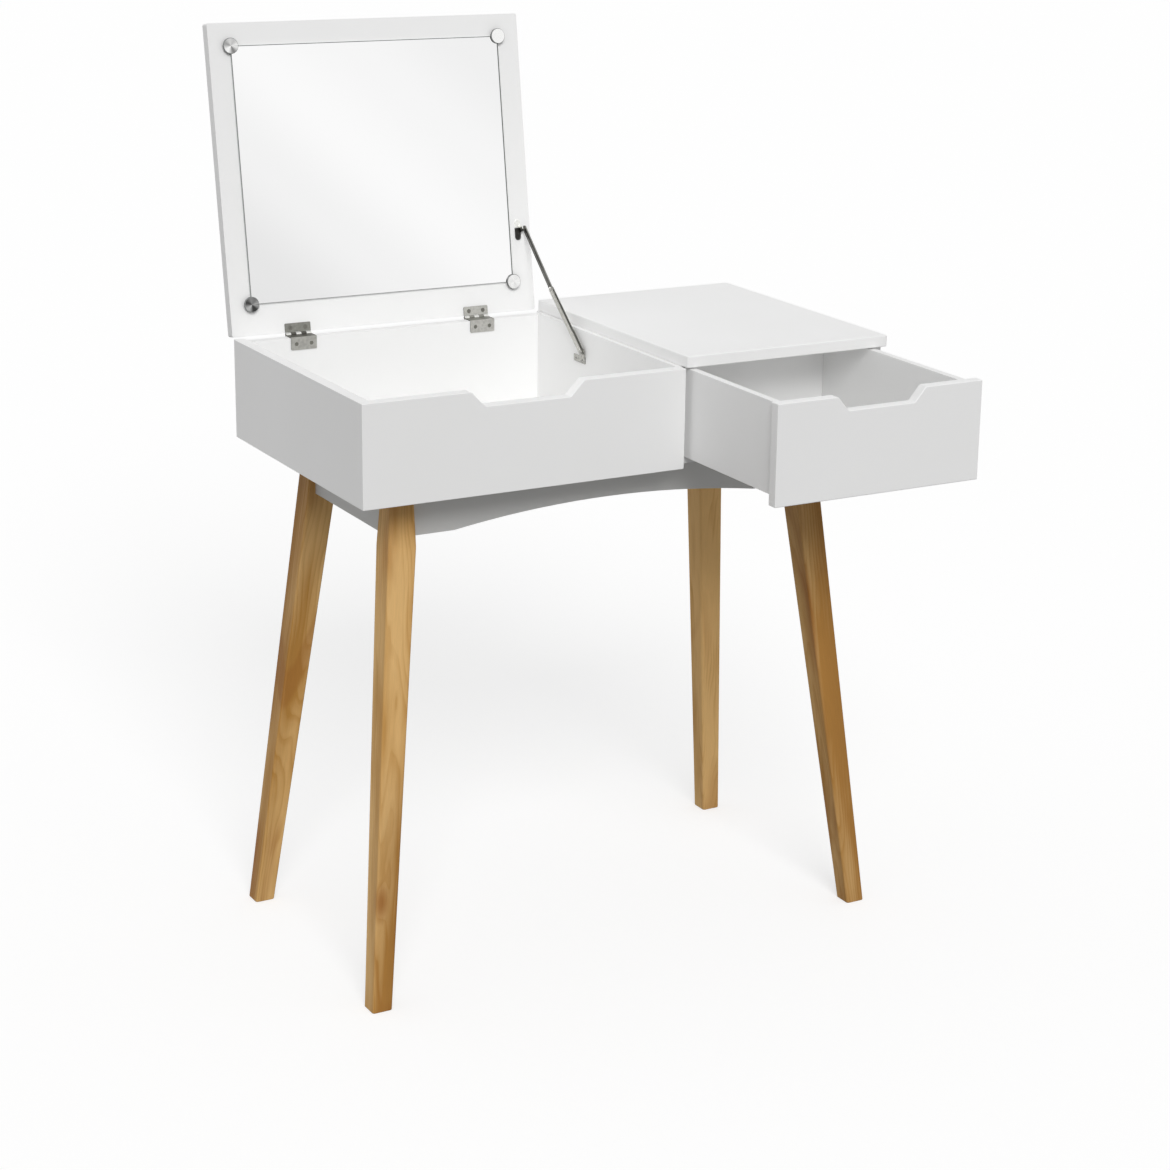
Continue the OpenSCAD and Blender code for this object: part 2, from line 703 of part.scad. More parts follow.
module lid_panel() {
    color(paint) table() difference() {
        lid_pose() translate([0, 0, case_top + lid_rest])
            linear_extrude(top_t) round_rect(lid_w, case_d, top_r);
        lid_pose() for (x0 = hinge_xs, x = fixed_screw_xs(x0))
            translate([x, moving_screw_y, case_top + lid_rest]) rotate([180, 0, 0]) pilot_hole();
        lid_face() for (p = concat(cap_places, lid_screw_places))
            translate([p[0], p[1], 0]) pilot_hole();
    }
}

// The mirror's corners are cut round for the hubs of the caps
module mirror() {
    color("#dfe6e8") table() lid_face() linear_extrude(mirror_t)
        difference() {
            translate([mirror_x, mirror_v]) square([mirror_w, mirror_h]);
            for (p = cap_places) translate(p) circle(cap_hub_d / 2 + cap_fit);
        }
}

// Flat turned caps: a hub through the mirror's cut corner, a straight rim and a bevelled face
module mirror_caps() {
    rim = cap_d / 2;
    base = mirror_t + cap_fit;
    color("#d8d8d8") table() lid_face() for (p = cap_places) translate([p[0], p[1], 0])
        difference() {
            union() {
                cylinder(h = base + eps, r = cap_hub_d / 2);
                translate([0, 0, base]) cylinder(h = cap_rim_h, r = rim);
                translate([0, 0, base + cap_rim_h])
                    cylinder(h = cap_bevel, r1 = rim, r2 = rim - cap_bevel);
            }
            translate([0, 0, -eps]) cylinder(h = mirror_t + eps, r = stud_r + screw_fit);
        }
}

module mirror_cap_studs() {
    color(zinc) table() lid_face() for (p = cap_places) translate([p[0], p[1], -screw_l])
        cylinder(h = screw_l + mirror_t - screw_fit, r = stud_r);
}

// ---- Lid stay ----

// A rivet along +X between x0 and x1, with a domed head beyond the ends that have one
module rivet(x0, x1, near_head, far_head) {
    dome_r = (rivet_head_r * rivet_head_r + rivet_head_h * rivet_head_h) / (2 * rivet_head_h);
    rotate([0, 90, 0]) rotate_extrude() {
        translate([0, x0]) square([rivet_r, x1 - x0]);
        if (near_head) translate([0, x0]) intersection() {
            translate([0, dome_r - rivet_head_h]) circle(dome_r);
            translate([0, -rivet_head_h]) square([rivet_head_r, rivet_head_h]);
        }
        if (far_head) translate([0, x1]) intersection() {
            translate([0, rivet_head_h - dome_r]) circle(dome_r);
            square([rivet_head_r, rivet_head_h]);
        }
    }
}

// Flat outline of an arm from its first eye to [l, 0], bored at both eyes
module arm_outline(l) {
    difference() {
        union() {
            translate([0, -arm_w / 2]) square([l, arm_w]);
            for (x = [0, l]) translate([x, 0]) circle(eye_r);
            children();
        }
        for (x = [0, l]) translate([x, 0]) circle(rivet_r + pin_fit);
    }
}

// The upper arm is a flat bar with a groove along its left face
module stay_upper_arm() {
    color(dark_steel) table() translate([0, pivot_u[0], pivot_u[1]])
        rotate([upper_arm_angle, 0, 0]) difference() {
            sideways(upper_arm_x, upper_arm_x + arm_t) arm_outline(upper_arm_l);
            sideways(upper_arm_x - eps, upper_arm_x + groove_t)
                translate([2 * eye_r, 0]) strip(upper_arm_l - 4 * eye_r, groove_w);
        }
}

// The lower arm is a channel, open towards the side on which the stay folds: two flanges with
// eyes, and a web between the eyes
module stay_lower_arm() {
    web_l = lower_arm_l - 2 * (eye_r + channel_open);
    color(steel) table() translate([0, pivot_l[0], pivot_l[1]])
        rotate([lower_arm_angle, 0, 0]) difference() {
            sideways(lower_arm_x, lower_arm_x + channel_t) arm_outline(lower_arm_l)
                translate([0, -arm_w / 2]) square([foot_arm_l, foot_arm_w]);
            sideways(lower_arm_x + channel_sheet, lower_arm_x + channel_t - channel_sheet)
                difference() {
                    translate([-2 * eye_r, -2 * eye_r])
                        square([lower_arm_l + 4 * eye_r, 4 * eye_r]);
                    translate([eye_r + channel_open, -2 * eye_r])
                        square([web_l, 2 * eye_r - arm_w / 2 + channel_sheet]);
                }
        }
}

// The lid rivet has a collar that holds the bar off the lug
module stay_lid_rivet() {
    color(zinc) table() translate([0, pivot_u[0], pivot_u[1]]) {
        rivet(lug_x, upper_arm_x + arm_t + stay_gap / 2, true, true);
        translate([lug_x + bracket_t, 0, 0]) rotate([0, 90, 0])
            cylinder(h = upper_arm_x - stay_gap / 2 - lug_x - bracket_t, r = rivet_head_r);
    }
}

module stay_elbow_rivet() {
    color(zinc) table() translate([0, pivot_e[0], pivot_e[1]])
        rivet(lower_arm_x, lower_arm_x + channel_t, true, true);
}

module stay_case_rivet() {
    color(zinc) table() translate([0, pivot_l[0], pivot_l[1]])
        rivet(lower_arm_x, lower_arm_x + channel_t, true, false);
}

// Bracket on the lid: a round-ended plate with a lug that holds the upper arm's rivet
module stay_lid_bracket() {
    color(steel) table() difference() {
        lid_face() union() {
            difference() {
                translate([lid_plate_mid_x, lid_plate_mid_v, 0]) linear_extrude(bracket_t)
                    rotate(90) translate([(lid_plate_w - lid_plate_l) / 2, 0])
                        strip(lid_plate_l - lid_plate_w, lid_plate_w);
                for (p = lid_screw_places) translate([p[0], p[1], bracket_t]) sunk_hole(bracket_t);
            }
            sideways(lug_x, lug_x + bracket_t) {
                translate([stay_lid_v - lug_w / 2, 0]) square([lug_w, stay_lid_out / 2]);
                translate([stay_lid_v - eye_r, 0]) square([2 * eye_r, stay_lid_out]);
                translate([stay_lid_v, stay_lid_out]) circle(eye_r);
            }
        }
        translate([lug_x - eps, pivot_u[0], pivot_u[1]]) rotate([0, 90, 0])
            cylinder(h = bracket_t + 2 * eps, r = rivet_r + pin_fit);
    }
}

module stay_lid_screws() {
    color(zinc) table() lid_face() for (p = lid_screw_places)
        translate([p[0], p[1], bracket_t]) screw(bracket_t);
}

// Bracket in the case: a plate on the divider, a shelf and a tab behind the lower arm's eye
case_plate_top = pivot_l[1] - case_plate_drop;
case_plate_y = pivot_l[0] - eye_r + (case_plate_l - 2 * eye_r) / 2 + eye_r;
case_screw_places = [for (s = [-1, 1])
    [case_plate_y + s * case_plate_screws / 2, case_plate_top - case_plate_h / 2]];

module stay_case_bracket() {
    y0 = pivot_l[0] - eye_r;
    color(steel) table() difference() {
        union() {
            translate([0, case_plate_y - case_plate_l / 2, case_plate_top - case_plate_h])
                sideways(divider_x - bracket_t, divider_x)
                    round_rect(case_plate_l, case_plate_h, bracket_t);
            block([tab_x, y0, case_plate_top - bracket_t],
                  [divider_x, y0 + 2 * eye_r, case_plate_top]);
            sideways(tab_x, tab_x + bracket_t) {
                translate(pivot_l) circle(eye_r);
                translate([y0, case_plate_top - bracket_t])
                    square([2 * eye_r, case_plate_drop + bracket_t]);
            }
        }
        for (p = case_screw_places)
            translate([divider_x - bracket_t, p[0], p[1]]) rotate([0, -90, 0]) sunk_hole(bracket_t);
    }
}

module stay_case_screws() {
    color(zinc) table() for (p = case_screw_places)
        translate([divider_x - bracket_t, p[0], p[1]]) rotate([0, -90, 0]) screw(bracket_t);
}

// ---- Drawer ----

// Room for the drawer's bottom, cut into the four walls round it
module drawer_bottom_plate(fit) {
    edge = drawer_side_t - drawer_groove - fit;
    z0 = drawer_z[0] + drawer_bottom_up;
    block([box_x[0] + edge, drawer_y - drawer_groove - fit, z0 - fit],
          [box_x[1] - edge, drawer_y + drawer_l - edge, z0 + drawer_bottom_t + fit]);
}

module drawer_front() {
    color(paint) table() drawer_pose() difference() {
        upright(drawer_y - drawer_front_t, drawer_y) difference() {
            translate([drawer_x[0], leg_h])
                square([drawer_x[1] - drawer_x[0], case_h - drawer_head_gap]);
            translate([(drawer_x[0] + drawer_x[1]) / 2, case_top - drawer_head_gap])
                notch(drawer_notch_top_w, drawer_notch_bottom_w, drawer_notch_depth, notch_r);
        }
        drawer_bottom_plate(drawer_groove_fit);
    }
}

module drawer_side(x0) {
    difference() {
        block([x0, drawer_y, drawer_z[0]], [x0 + drawer_side_t, drawer_y + drawer_l, drawer_z[1]]);
        drawer_bottom_plate(drawer_groove_fit);
    }
}
module drawer_left_side() { color(paint) table() drawer_pose() drawer_side(box_x[0]); }
module drawer_right_side() {
    color(paint) table() drawer_pose() drawer_side(box_x[1] - drawer_side_t);
}

module drawer_back() {
    color(paint) table() drawer_pose() difference() {
        block([box_x[0] + drawer_side_t, drawer_y + drawer_l - drawer_side_t, drawer_z[0]],
              [box_x[1] - drawer_side_t, drawer_y + drawer_l, drawer_z[1]]);
        drawer_bottom_plate(drawer_groove_fit);
    }
}

module drawer_bottom() { color(paint) table() drawer_pose() drawer_bottom_plate(0); }

left_side_panel();
right_side_panel();
back_panel();
divider_panel();
bottom_board();
front_panel();
top_board();
front_left_leg();
front_right_leg();
rear_left_leg();
rear_right_leg();
front_apron();
rear_apron();
left_apron();
right_apron();
leg_corner_plates();
corner_plate_screws();
leg_bolts();
leg_nuts();
left_hinge_fixed_leaf();
right_hinge_fixed_leaf();
hinge_pins();
hinge_case_screws();
stay_case_bracket();
stay_case_screws();
lid_panel();
mirror();
mirror_caps();
mirror_cap_studs();
left_hinge_moving_leaf();
right_hinge_moving_leaf();
hinge_lid_screws();
stay_lid_bracket();
stay_lid_screws();
stay_lid_rivet();
stay_upper_arm();
stay_elbow_rivet();
stay_lower_arm();
stay_case_rivet();
drawer_front();
drawer_left_side();
drawer_right_side();
drawer_back();
drawer_bottom();
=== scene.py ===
"""Looks of a flip top vanity table: lacquered boards, varnished pine legs, a mirror on the lid,
butt hinges and a folding lid stay."""

import json
from math import cos, hypot, pi, radians, sin

import bmesh
import bpy
import numpy as np
from bpy.props import FloatProperty, FloatVectorProperty, PointerProperty
from bpy.types import Operator, Panel, PropertyGroup
from mathutils import Matrix, Vector

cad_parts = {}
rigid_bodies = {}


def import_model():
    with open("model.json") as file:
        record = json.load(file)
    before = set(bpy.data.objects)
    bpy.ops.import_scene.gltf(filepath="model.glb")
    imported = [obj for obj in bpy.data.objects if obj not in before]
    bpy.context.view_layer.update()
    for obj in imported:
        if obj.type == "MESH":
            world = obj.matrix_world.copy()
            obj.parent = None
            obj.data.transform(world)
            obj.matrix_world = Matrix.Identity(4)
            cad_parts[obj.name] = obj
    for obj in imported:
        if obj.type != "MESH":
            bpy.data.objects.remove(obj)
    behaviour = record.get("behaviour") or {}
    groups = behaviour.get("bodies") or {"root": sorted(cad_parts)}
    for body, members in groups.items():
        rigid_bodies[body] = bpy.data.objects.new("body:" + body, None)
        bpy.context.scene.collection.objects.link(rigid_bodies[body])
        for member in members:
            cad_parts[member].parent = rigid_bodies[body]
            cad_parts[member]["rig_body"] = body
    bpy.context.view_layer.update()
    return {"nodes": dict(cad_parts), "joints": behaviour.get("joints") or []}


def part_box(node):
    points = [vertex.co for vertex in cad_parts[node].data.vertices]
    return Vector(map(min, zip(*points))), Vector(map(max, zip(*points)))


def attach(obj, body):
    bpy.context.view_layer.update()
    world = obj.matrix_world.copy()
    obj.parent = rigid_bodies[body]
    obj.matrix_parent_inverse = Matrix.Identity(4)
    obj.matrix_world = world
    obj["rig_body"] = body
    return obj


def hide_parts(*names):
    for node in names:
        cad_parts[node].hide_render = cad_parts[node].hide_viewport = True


bl_info = {
    "name": "Flip Top Vanity Table",
    "version": (1, 0, 0),
    "blender": (4, 5, 0),
    "location": "3D View > Sidebar > Vanity",
    "description": "Dresses the packed vanity table in lacquer, pine, mirror glass and metal",
    "category": "Object",
}

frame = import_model()

# Sockets of a Mix node that mixes colours
MIX_A, MIX_B, MIX_RESULT = 6, 7, 2
WHITE = (1.0, 1.0, 1.0)


def linear(code):
    """An sRGB hex colour as linear red, green and blue."""
    values = np.array([int(code[i:i + 2], 16) for i in (1, 3, 5)]) / 255
    curve = np.where(values <= 0.04045, values / 12.92, ((values + 0.055) / 1.055) ** 2.4)
    return tuple(curve.tolist())


# ---- settings

def length(name, description, default):
    return FloatProperty(name=name, description=description, default=default, min=0.0,
                         subtype="DISTANCE", unit="LENGTH", precision=5)


def colour(name, description, code):
    return FloatVectorProperty(name=name, description=description, default=linear(code),
                               min=0.0, max=1.0, size=3, subtype="COLOR")


class VanityBoardSettings(PropertyGroup):
    edge: length("Board edge", "Round on the edges of lid, top board and drawer front", 0.0013)
    case_edge: length("Case edge", "Round on the edges of the other boards", 0.0007)
    white: colour("White", "Lacquer where it lies full", "#f8f8f8")
    shade: colour("White, thin", "Lacquer where it lies a little thinner", "#f4f4f3")
    # The bottom boards' grey stands for less light on them: painted shade
    bottom: colour("White, rolled", "Thin rolled lacquer on the bottom boards", "#eaeae9")
    # The aprons' grey stands for the shade under the case: painted shade
    primer_shade: colour("Primer", "Grey white primer under the case, on the aprons", "#d8d8d6")


class VanityLegSettings(PropertyGroup):
    corner: length("Corner", "Round along the legs' long edges", 0.003)
    foot: length("Foot edge", "Round under the feet", 0.0012)
    ring: length("Ring width", "Width of a growth ring of the pine", 0.0052)
    early: colour("Early wood", "Light part of a growth ring", "#e6bb7c")
    late: colour("Late wood", "Dark part of a growth ring", "#bd8a45")
    red: colour("Heart wood", "Redder patches and knots", "#a2652a")


class VanityMirrorSettings(PropertyGroup):
    edge: length("Glass edge", "Ground arris on the glass", 0.0004)
    line: length("Silver line", "From the glass's edge to where its silver starts", 0.0009)
    line_low: length("Silver line, low", "The same at the glass's lower edge", 0.0004)
    # Wider than the line elsewhere: a painted shadow of the glass
    line_right_shadow: length("Silver line, right", "The same at the glass's right edge", 0.0016)
    silver: colour("Silver", "Silvered back of the glass", "#fafafa")
    ground: colour("Ground edge", "Ground edge of the glass", "#cdd1cf")
    paint: colour("Back paint", "Paint behind the glass, seen where the silver ends", "#5e6261")
    cap_rim: length("Cap rim", "Height of a cap's straight rim", 0.0016)
    cap_bevel: length("Cap bevel", "Height and width of the bevel round a cap's face", 0.0008)
    chrome: colour("Chrome", "Plating of the caps", "#fbfbfa")
    # The bevel's grey and the rim's near black are painted reflections on the caps
    bevel: colour("Cap bevel", "Bevel round a cap's face", "#989a99")
    rim: colour("Cap rim", "Dark sides of the caps", "#2c2d2d")


class VanityMetalSettings(PropertyGroup):
    edge: length("Sheet edge", "Round on the edges of stamped sheet", 0.0004)
    nickel: colour("Nickel", "Satin nickel plate on stamped steel", "#cdccc6")
    # Bright nickel: a painted highlight on the hinge knuckles, and the bright top of the lid's
    # bracket
    bright: colour("Nickel, bright", "Nickel rubbed bright", "#f2f2ee")
    inside: colour("Channel inside", "Dull inside of the stay's channel", "#c6c6c0")
    # A shade lighter than nickel on the right fixed leaf: painted light
    clean: colour("Nickel, clean", "Satin nickel of the leaf that stayed cleanest", "#dddbd6")
    # Darker nickel: painted shade on hinge parts
    nickel_painted_shade: colour("Nickel, tarnished", "Satin nickel that has gone dull", "#96968f")
    # Painted shade on the flange before the left hinge's knuckles
    flange_painted_shade: colour("Nickel, in shadow", "Grimy flange below the left hinge's knuckles", "#7a7973")
    # Sheared edges drawn nearly black: painted shade along the stamped pieces' edges
    cut: colour("Cut edge", "Sheared edge of stamped sheet", "#5c5b56")
    dark: colour("Dark steel", "Blackened steel of the stay", "#64635f")
    # Lighter grey on the narrow edges of the stay's upper bar
    rubbed: colour("Rubbed steel", "Blackened steel rubbed bare along its edges", "#8b8a85")
    screw: colour("Screws", "Nickel plated screw heads", "#96958d")
    lid_screw: colour("Lid screws", "Screw heads on the moving leaves, gone darker", "#85847d")
    zinc: colour("Zinc", "Zinc plated bolts, nuts and sheet", "#b9b8b4")
    knuckle: length("Knuckle", "From the pin's axis to the outside of a knuckle", 0.0024)


class VanityStudioSettings(PropertyGroup):
    sky: FloatProperty(name="Sky", description="Level of the even light all round", default=0.5)
    lamp: FloatProperty(name="Lamp", description="Strength of the large lamp in front", default=1.6)
    lamp_angle: FloatProperty(name="Lamp size", description="Angle that the lamp fills",
                              default=radians(28), subtype="ANGLE", unit="ROTATION")
    lens: FloatProperty(name="Lens", description="Focal length in mm on a 36 mm sensor",
                        default=81.44)


# ---- mesh helpers

def put(node, mesh, finishes):
    """Makes an object of a mesh, gives it its finishes, and stands it for its CAD node."""
    piece = bpy.data.objects.new(node.replace("_", " ").title().replace(" ", ""), mesh)
    bpy.context.scene.collection.objects.link(piece)
    for finish in finishes:
        mesh.materials.append(finish)
    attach(piece, frame["nodes"][node]["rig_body"])
    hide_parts(node)
    return piece


def finish_node(name, material):
    """Gives a CAD node that is shown as it is its material."""
    mesh = frame["nodes"][name].data
    mesh.materials.clear()
    mesh.materials.append(material)


def merged_copy(node, flush=()):
    """A merged copy of a CAD node's mesh whose sharp edges have bevel weight 1. flush lists
    (axis, place) planes: an edge in one of them meets another board and stays sharp."""
    flat_turn, sharp_turn, touch = 0.01, 0.5, 1e-4
    bm = bmesh.new()
    bm.from_mesh(frame["nodes"][node].data)
    bmesh.ops.remove_doubles(bm, verts=bm.verts, dist=1e-5)
    bmesh.ops.dissolve_limit(bm, angle_limit=flat_turn, verts=bm.verts, edges=bm.edges)
    weight = bm.edges.layers.float.new("bevel_weight_edge")
    for edge in bm.edges:
        sharp = edge.is_manifold and edge.calc_face_angle() > sharp_turn
        joined = any(all(abs(v.co[axis] - place) < touch for v in edge.verts)
                     for axis, place in flush)
        edge[weight] = float(sharp and not joined)
        edge.smooth = not (sharp and joined)
    for face in bm.faces:
        face.smooth = True
    mesh = bpy.data.meshes.new(node)
    bm.to_mesh(mesh)
    bm.free()
    if "custom_normal" in mesh.attributes:
        mesh.attributes.remove(mesh.attributes["custom_normal"])
    return mesh


def eased(node, radius, finishes, flush=()):
    """A CAD node with round edges: a merged copy under a bevel of that radius."""
    piece = put(node, merged_copy(node, flush), finishes)
    bevel = piece.modifiers.new("Round edges", "BEVEL")
    bevel.limit_method = "WEIGHT"
    bevel.width = radius
    bevel.segments = 3
    bevel.harden_normals = True
    return piece


def stamped(node, radius, finishes, place):
    """A stamped sheet node with round edges: place tells, from a face's normal and middle, which
    of the finishes it takes. The round edges take the second one, on most pieces that of a sheared
    edge drawn nearly black, a painted shade along the edges."""
    piece = eased(node, radius, finishes)
    piece.modifiers["Round edges"].material = 1
    for polygon in piece.data.polygons:
        polygon.material_index = int(place(polygon.normal, polygon.center))
    return piece


def closed_mesh(name, grid):
    """A mesh of a (rows, columns, 3) grid of closed loops: quads between neighbours, and a cap on
    the first and the last loop."""
    rows, columns = grid.shape[:2]
    index = np.arange(rows * columns).reshape(rows, columns)
    after = np.roll(index, -1, axis=1)
    quads = np.stack([index[:-1], after[:-1], after[1:], index[1:]], axis=-1)
    faces = [*quads.reshape(-1, 4).tolist(), index[0, ::-1].tolist(), index[-1].tolist()]
    mesh = bpy.data.meshes.new(name)
    mesh.from_pydata(grid.reshape(-1, 3).tolist(), [], faces)
    mesh.polygons.foreach_set("use_smooth", [True] * len(faces))
    bm = bmesh.new()
    bm.from_mesh(mesh)
    bmesh.ops.recalc_face_normals(bm, faces=bm.faces)
    bm.to_mesh(mesh)
    bm.free()
    return mesh


# ---- materials

def add(tree, kind, values=None, links=None, **settings):
    """Adds a shader node with its settings, the values of its sockets and the links into them. A
    link comes from an output, or from a node, which stands for its first output."""
    node = tree.nodes.new("ShaderNode" + kind)
    for key, value in settings.items():
        setattr(node, key, value)
    for socket, value in (values or {}).items():
        node.inputs[socket].default_value = value
    for socket, source in (links or {}).items():
        output = source.outputs[0] if isinstance(source, bpy.types.Node) else source
        tree.links.new(output, node.inputs[socket])
    return node


def blank(name):
    """An empty node material and its tree."""
    material = bpy.data.materials.new(name)
    material.use_nodes = True
    material.node_tree.nodes.clear()
    return material, material.node_tree


def rgba(value, level=1.0):
    """A colour for a socket, dimmed to a level."""
    return (*(level * c for c in value), 1.0)


def ramp(node, stops):
    """Sets a colour ramp's stops from (place, grey level) pairs."""
    elements = node.color_ramp.elements
    while len(elements) < len(stops):
        elements.new(0.5)
    for element, (place, level) in zip(elements, stops):
        element.position = place
        element.color = (level, level, level, 1.0)
    node.color_ramp.interpolation = "EASE"


def lacquer(name, full, thin, roughness):
    """White satin lacquer sprayed on fibreboard: an even white with a slow change, over 200 mm, in
    how full it lies, and a faint orange peel that breaks up its highlights, drawn coarser than it
    is so that it shows."""
    change, peel_size, peel_depth, spread = 0.2, 0.006, 0.00004, 0.05
    material, tree = blank(name)
    place = add(tree, "TexCoord").outputs["Object"]
    cloud = add(tree, "TexNoise", {"Scale": 1 / change, "Detail": 2.0}, {"Vector": place})
    tone = add(tree, "Mix", {MIX_A: rgba(full), MIX_B: rgba(thin)}, {0: cloud}, data_type="RGBA")
    gloss = add(tree, "MapRange",
                {"To Min": roughness - spread, "To Max": roughness + spread}, {"Value": cloud})
    waves = add(tree, "TexNoise", {"Scale": 1 / peel_size, "Detail": 1.0}, {"Vector": place})
    peel = add(tree, "Bump", {"Strength": 1.0, "Distance": peel_depth}, {"Height": waves})
    shader = add(tree, "BsdfPrincipled", {"IOR": 1.5},
                 {"Base Color": tone.outputs[MIX_RESULT], "Roughness": gloss, "Normal": peel})
    add(tree, "OutputMaterial", None, {"Surface": shader})
    return material


def varnished_pine(settings):
    """Knotty pine, flat-sawn, planed and varnished matt: growth rings about 5 mm wide, cut almost
    along the stem so that they run up the faces in long soft flames, light early wood that darkens
    slowly into late wood, fine fibres along the leg, redder patches and a soft knot. It reads the
    legs' grain attribute, metres across, across and along the leg, and their plank attribute, how
    dark and red the plank is, with painted shade where the case and the drawer shade the legs."""
    # How far the pith lies behind the foot, and how fast it draws away up the leg
    pith_behind, pith_slant = 0.065, 0.045
    # A knot in the lower part of the front left leg: its middle, its width to its length, the
    # reach of its core and of its edge, and how far it bends the rings
    knot_x, knot_y, knot_z, knot_squeeze = -0.009, -0.015, 0.142, 0.42
    knot_core, knot_edge, knot_bend = 0.001, 0.014, 0.006
    # A red stripe across the rear left leg: its place along the stock, its slant and waviness,
    # and half the width of its core and of its whole
    stripe_at, stripe_slant, stripe_wave, stripe_core, stripe_edge = 2.97, -2.5, 0.08, 0.022, 0.042
    # How far the rings sway, the contrast of the light and dark stretches, and what the plank tone,
    # painted shade included, the streaks and the rings add to the late wood's share
    swing, contrast, by_plank, by_streak, by_ring = 0.05, 3.0, 0.45, 0.35, 0.36
    # What the plank tone, painted shade included, the stripe and the knot add to the red, and how
    # far a dark tone is dimmed
    red_plank, red_stripe, red_knot, dim_plank = 0.14, 0.38, 0.65, 0.14
    material, tree = blank("Varnished pine")
    grain = add(tree, "Attribute", attribute_name="grain").outputs["Vector"]
    plank_and_shade = add(tree, "Attribute", attribute_name="plank_and_shade").outputs["Fac"]
    # The rings sway over about 40 mm across and 250 mm along the leg
    drawn_out = add(tree, "Mapping", {"Scale": (1.0, 1.0, 0.16)}, {"Vector": grain})
    sway = add(tree, "TexNoise", {"Scale": 24.0, "Detail": 2.0, "Roughness": 0.45},
               {"Vector": drawn_out}).outputs["Color"]
    parts = add(tree, "SeparateXYZ", None, {"Vector": grain})
    behind = add(tree, "Math", {1: pith_slant, 2: pith_behind}, {0: parts.outputs["Z"]},
                 operation="MULTIPLY_ADD")
    depth = add(tree, "Math", None, {0: parts.outputs["Y"], 1: behind}, operation="SUBTRACT")
    section = add(tree, "CombineXYZ", None, {"X": parts.outputs["X"], "Y": depth})
    swayed = add(tree, "VectorMath", {1: (swing, swing, 0.0)}, {0: sway, 2: section},
                 operation="MULTIPLY_ADD")
    radius = add(tree, "VectorMath", None, {0: swayed}, operation="LENGTH").outputs["Value"]
    knot = add(tree, "Mapping", {"Scale": (1.0, 1.0, knot_squeeze)}, {"Vector": grain})
    near = add(tree, "VectorMath", {1: (knot_x, knot_y, knot_z * knot_squeeze)},
               {0: knot}, operation="DISTANCE").outputs["Value"]
    knot_mask = add(tree, "MapRange",
                    {"From Min": knot_core, "From Max": knot_edge, "To Min": 1.0, "To Max": 0.0},
                    {"Value": near}, interpolation_type="SMOOTHSTEP")
    bent = add(tree, "Math", {1: knot_bend}, {0: knot_mask, 2: radius}, operation="MULTIPLY_ADD")
    turns = add(tree, "Math", {1: settings.ring}, {0: bent}, operation="DIVIDE")
    ring = add(tree, "Math", None, {0: turns}, operation="FRACT")
    bands = add(tree, "ValToRGB", None, {"Fac": ring})
    ramp(bands, ((0.0, 0.3), (0.14, 0.0), (0.55, 0.25), (0.84, 0.85), (0.93, 1.0), (1.0, 0.3)))
    # Fibres about 0.6 mm wide and 25 mm long, coarser than they are so that they show, and streaks
    # about 8 mm wide
    drawn_fine = add(tree, "Mapping", {"Scale": (1.0, 1.0, 0.03)}, {"Vector": grain})
    fibre = add(tree, "TexNoise", {"Scale": 1500.0, "Detail": 3.0, "Roughness": 0.6},
                {"Vector": drawn_fine})
    streak = add(tree, "TexNoise", {"Scale": 120.0, "Detail": 3.0, "Roughness": 0.5},
                 {"Vector": drawn_fine})
    # Light and dark stretches about 30 mm wide and 200 mm long
    cloud = add(tree, "TexNoise", {"Scale": 34.0, "Detail": 1.5, "Roughness": 0.5},
                {"Vector": drawn_out})
    shades = add(tree, "Math", {1: contrast, 2: -contrast / 2}, {0: cloud},
                 operation="MULTIPLY_ADD")
    toned = add(tree, "Math", {1: by_plank}, {0: plank_and_shade, 2: shades}, operation="MULTIPLY_ADD")
    dark = add(tree, "Math", {1: by_streak}, {0: streak, 2: toned}, operation="MULTIPLY_ADD")
    late = add(tree, "Math", {1: by_ring}, {0: bands, 2: dark},
               operation="MULTIPLY_ADD", use_clamp=True)
    wood = add(tree, "Mix", {MIX_A: rgba(settings.early), MIX_B: rgba(settings.late)},
               {0: late}, data_type="RGBA")
    # Redder where a patch about 50 mm wide, the plank, the stripe or the knot is
    patch = add(tree, "TexNoise", {"Scale": 20.0, "Detail": 2.0, "Distortion": 0.6},
                {"Vector": drawn_out})
    patchy = add(tree, "MapRange", {"From Min": 0.52, "From Max": 0.7, "To Max": 0.7},
                 {"Value": patch})
    redder = add(tree, "Math", {1: red_plank}, {0: plank_and_shade, 2: patchy}, operation="MULTIPLY_ADD")
    slant = add(tree, "VectorMath", {1: (stripe_slant, 0.0, 1.0)}, {0: grain},
                operation="DOT_PRODUCT").outputs["Value"]
    waved = add(tree, "Math", {1: stripe_wave}, {0: cloud, 2: slant}, operation="MULTIPLY_ADD")
    off = add(tree, "Math", {1: stripe_at}, {0: waved}, operation="SUBTRACT")
    away = add(tree, "Math", None, {0: off}, operation="ABSOLUTE")
    stripe = add(tree, "MapRange", {"From Min": stripe_core, "From Max": stripe_edge,
                                    "To Min": red_stripe, "To Max": 0.0}, {"Value": away},
                 interpolation_type="SMOOTHSTEP")
    streaked = add(tree, "Math", None, {0: stripe, 1: redder}, operation="ADD")
    heart = add(tree, "Math", {1: red_knot}, {0: knot_mask, 2: streaked},
                operation="MULTIPLY_ADD", use_clamp=True)
    warm = add(tree, "Mix", {MIX_B: rgba(settings.red)},
               {0: heart, MIX_A: wood.outputs[MIX_RESULT]}, data_type="RGBA")
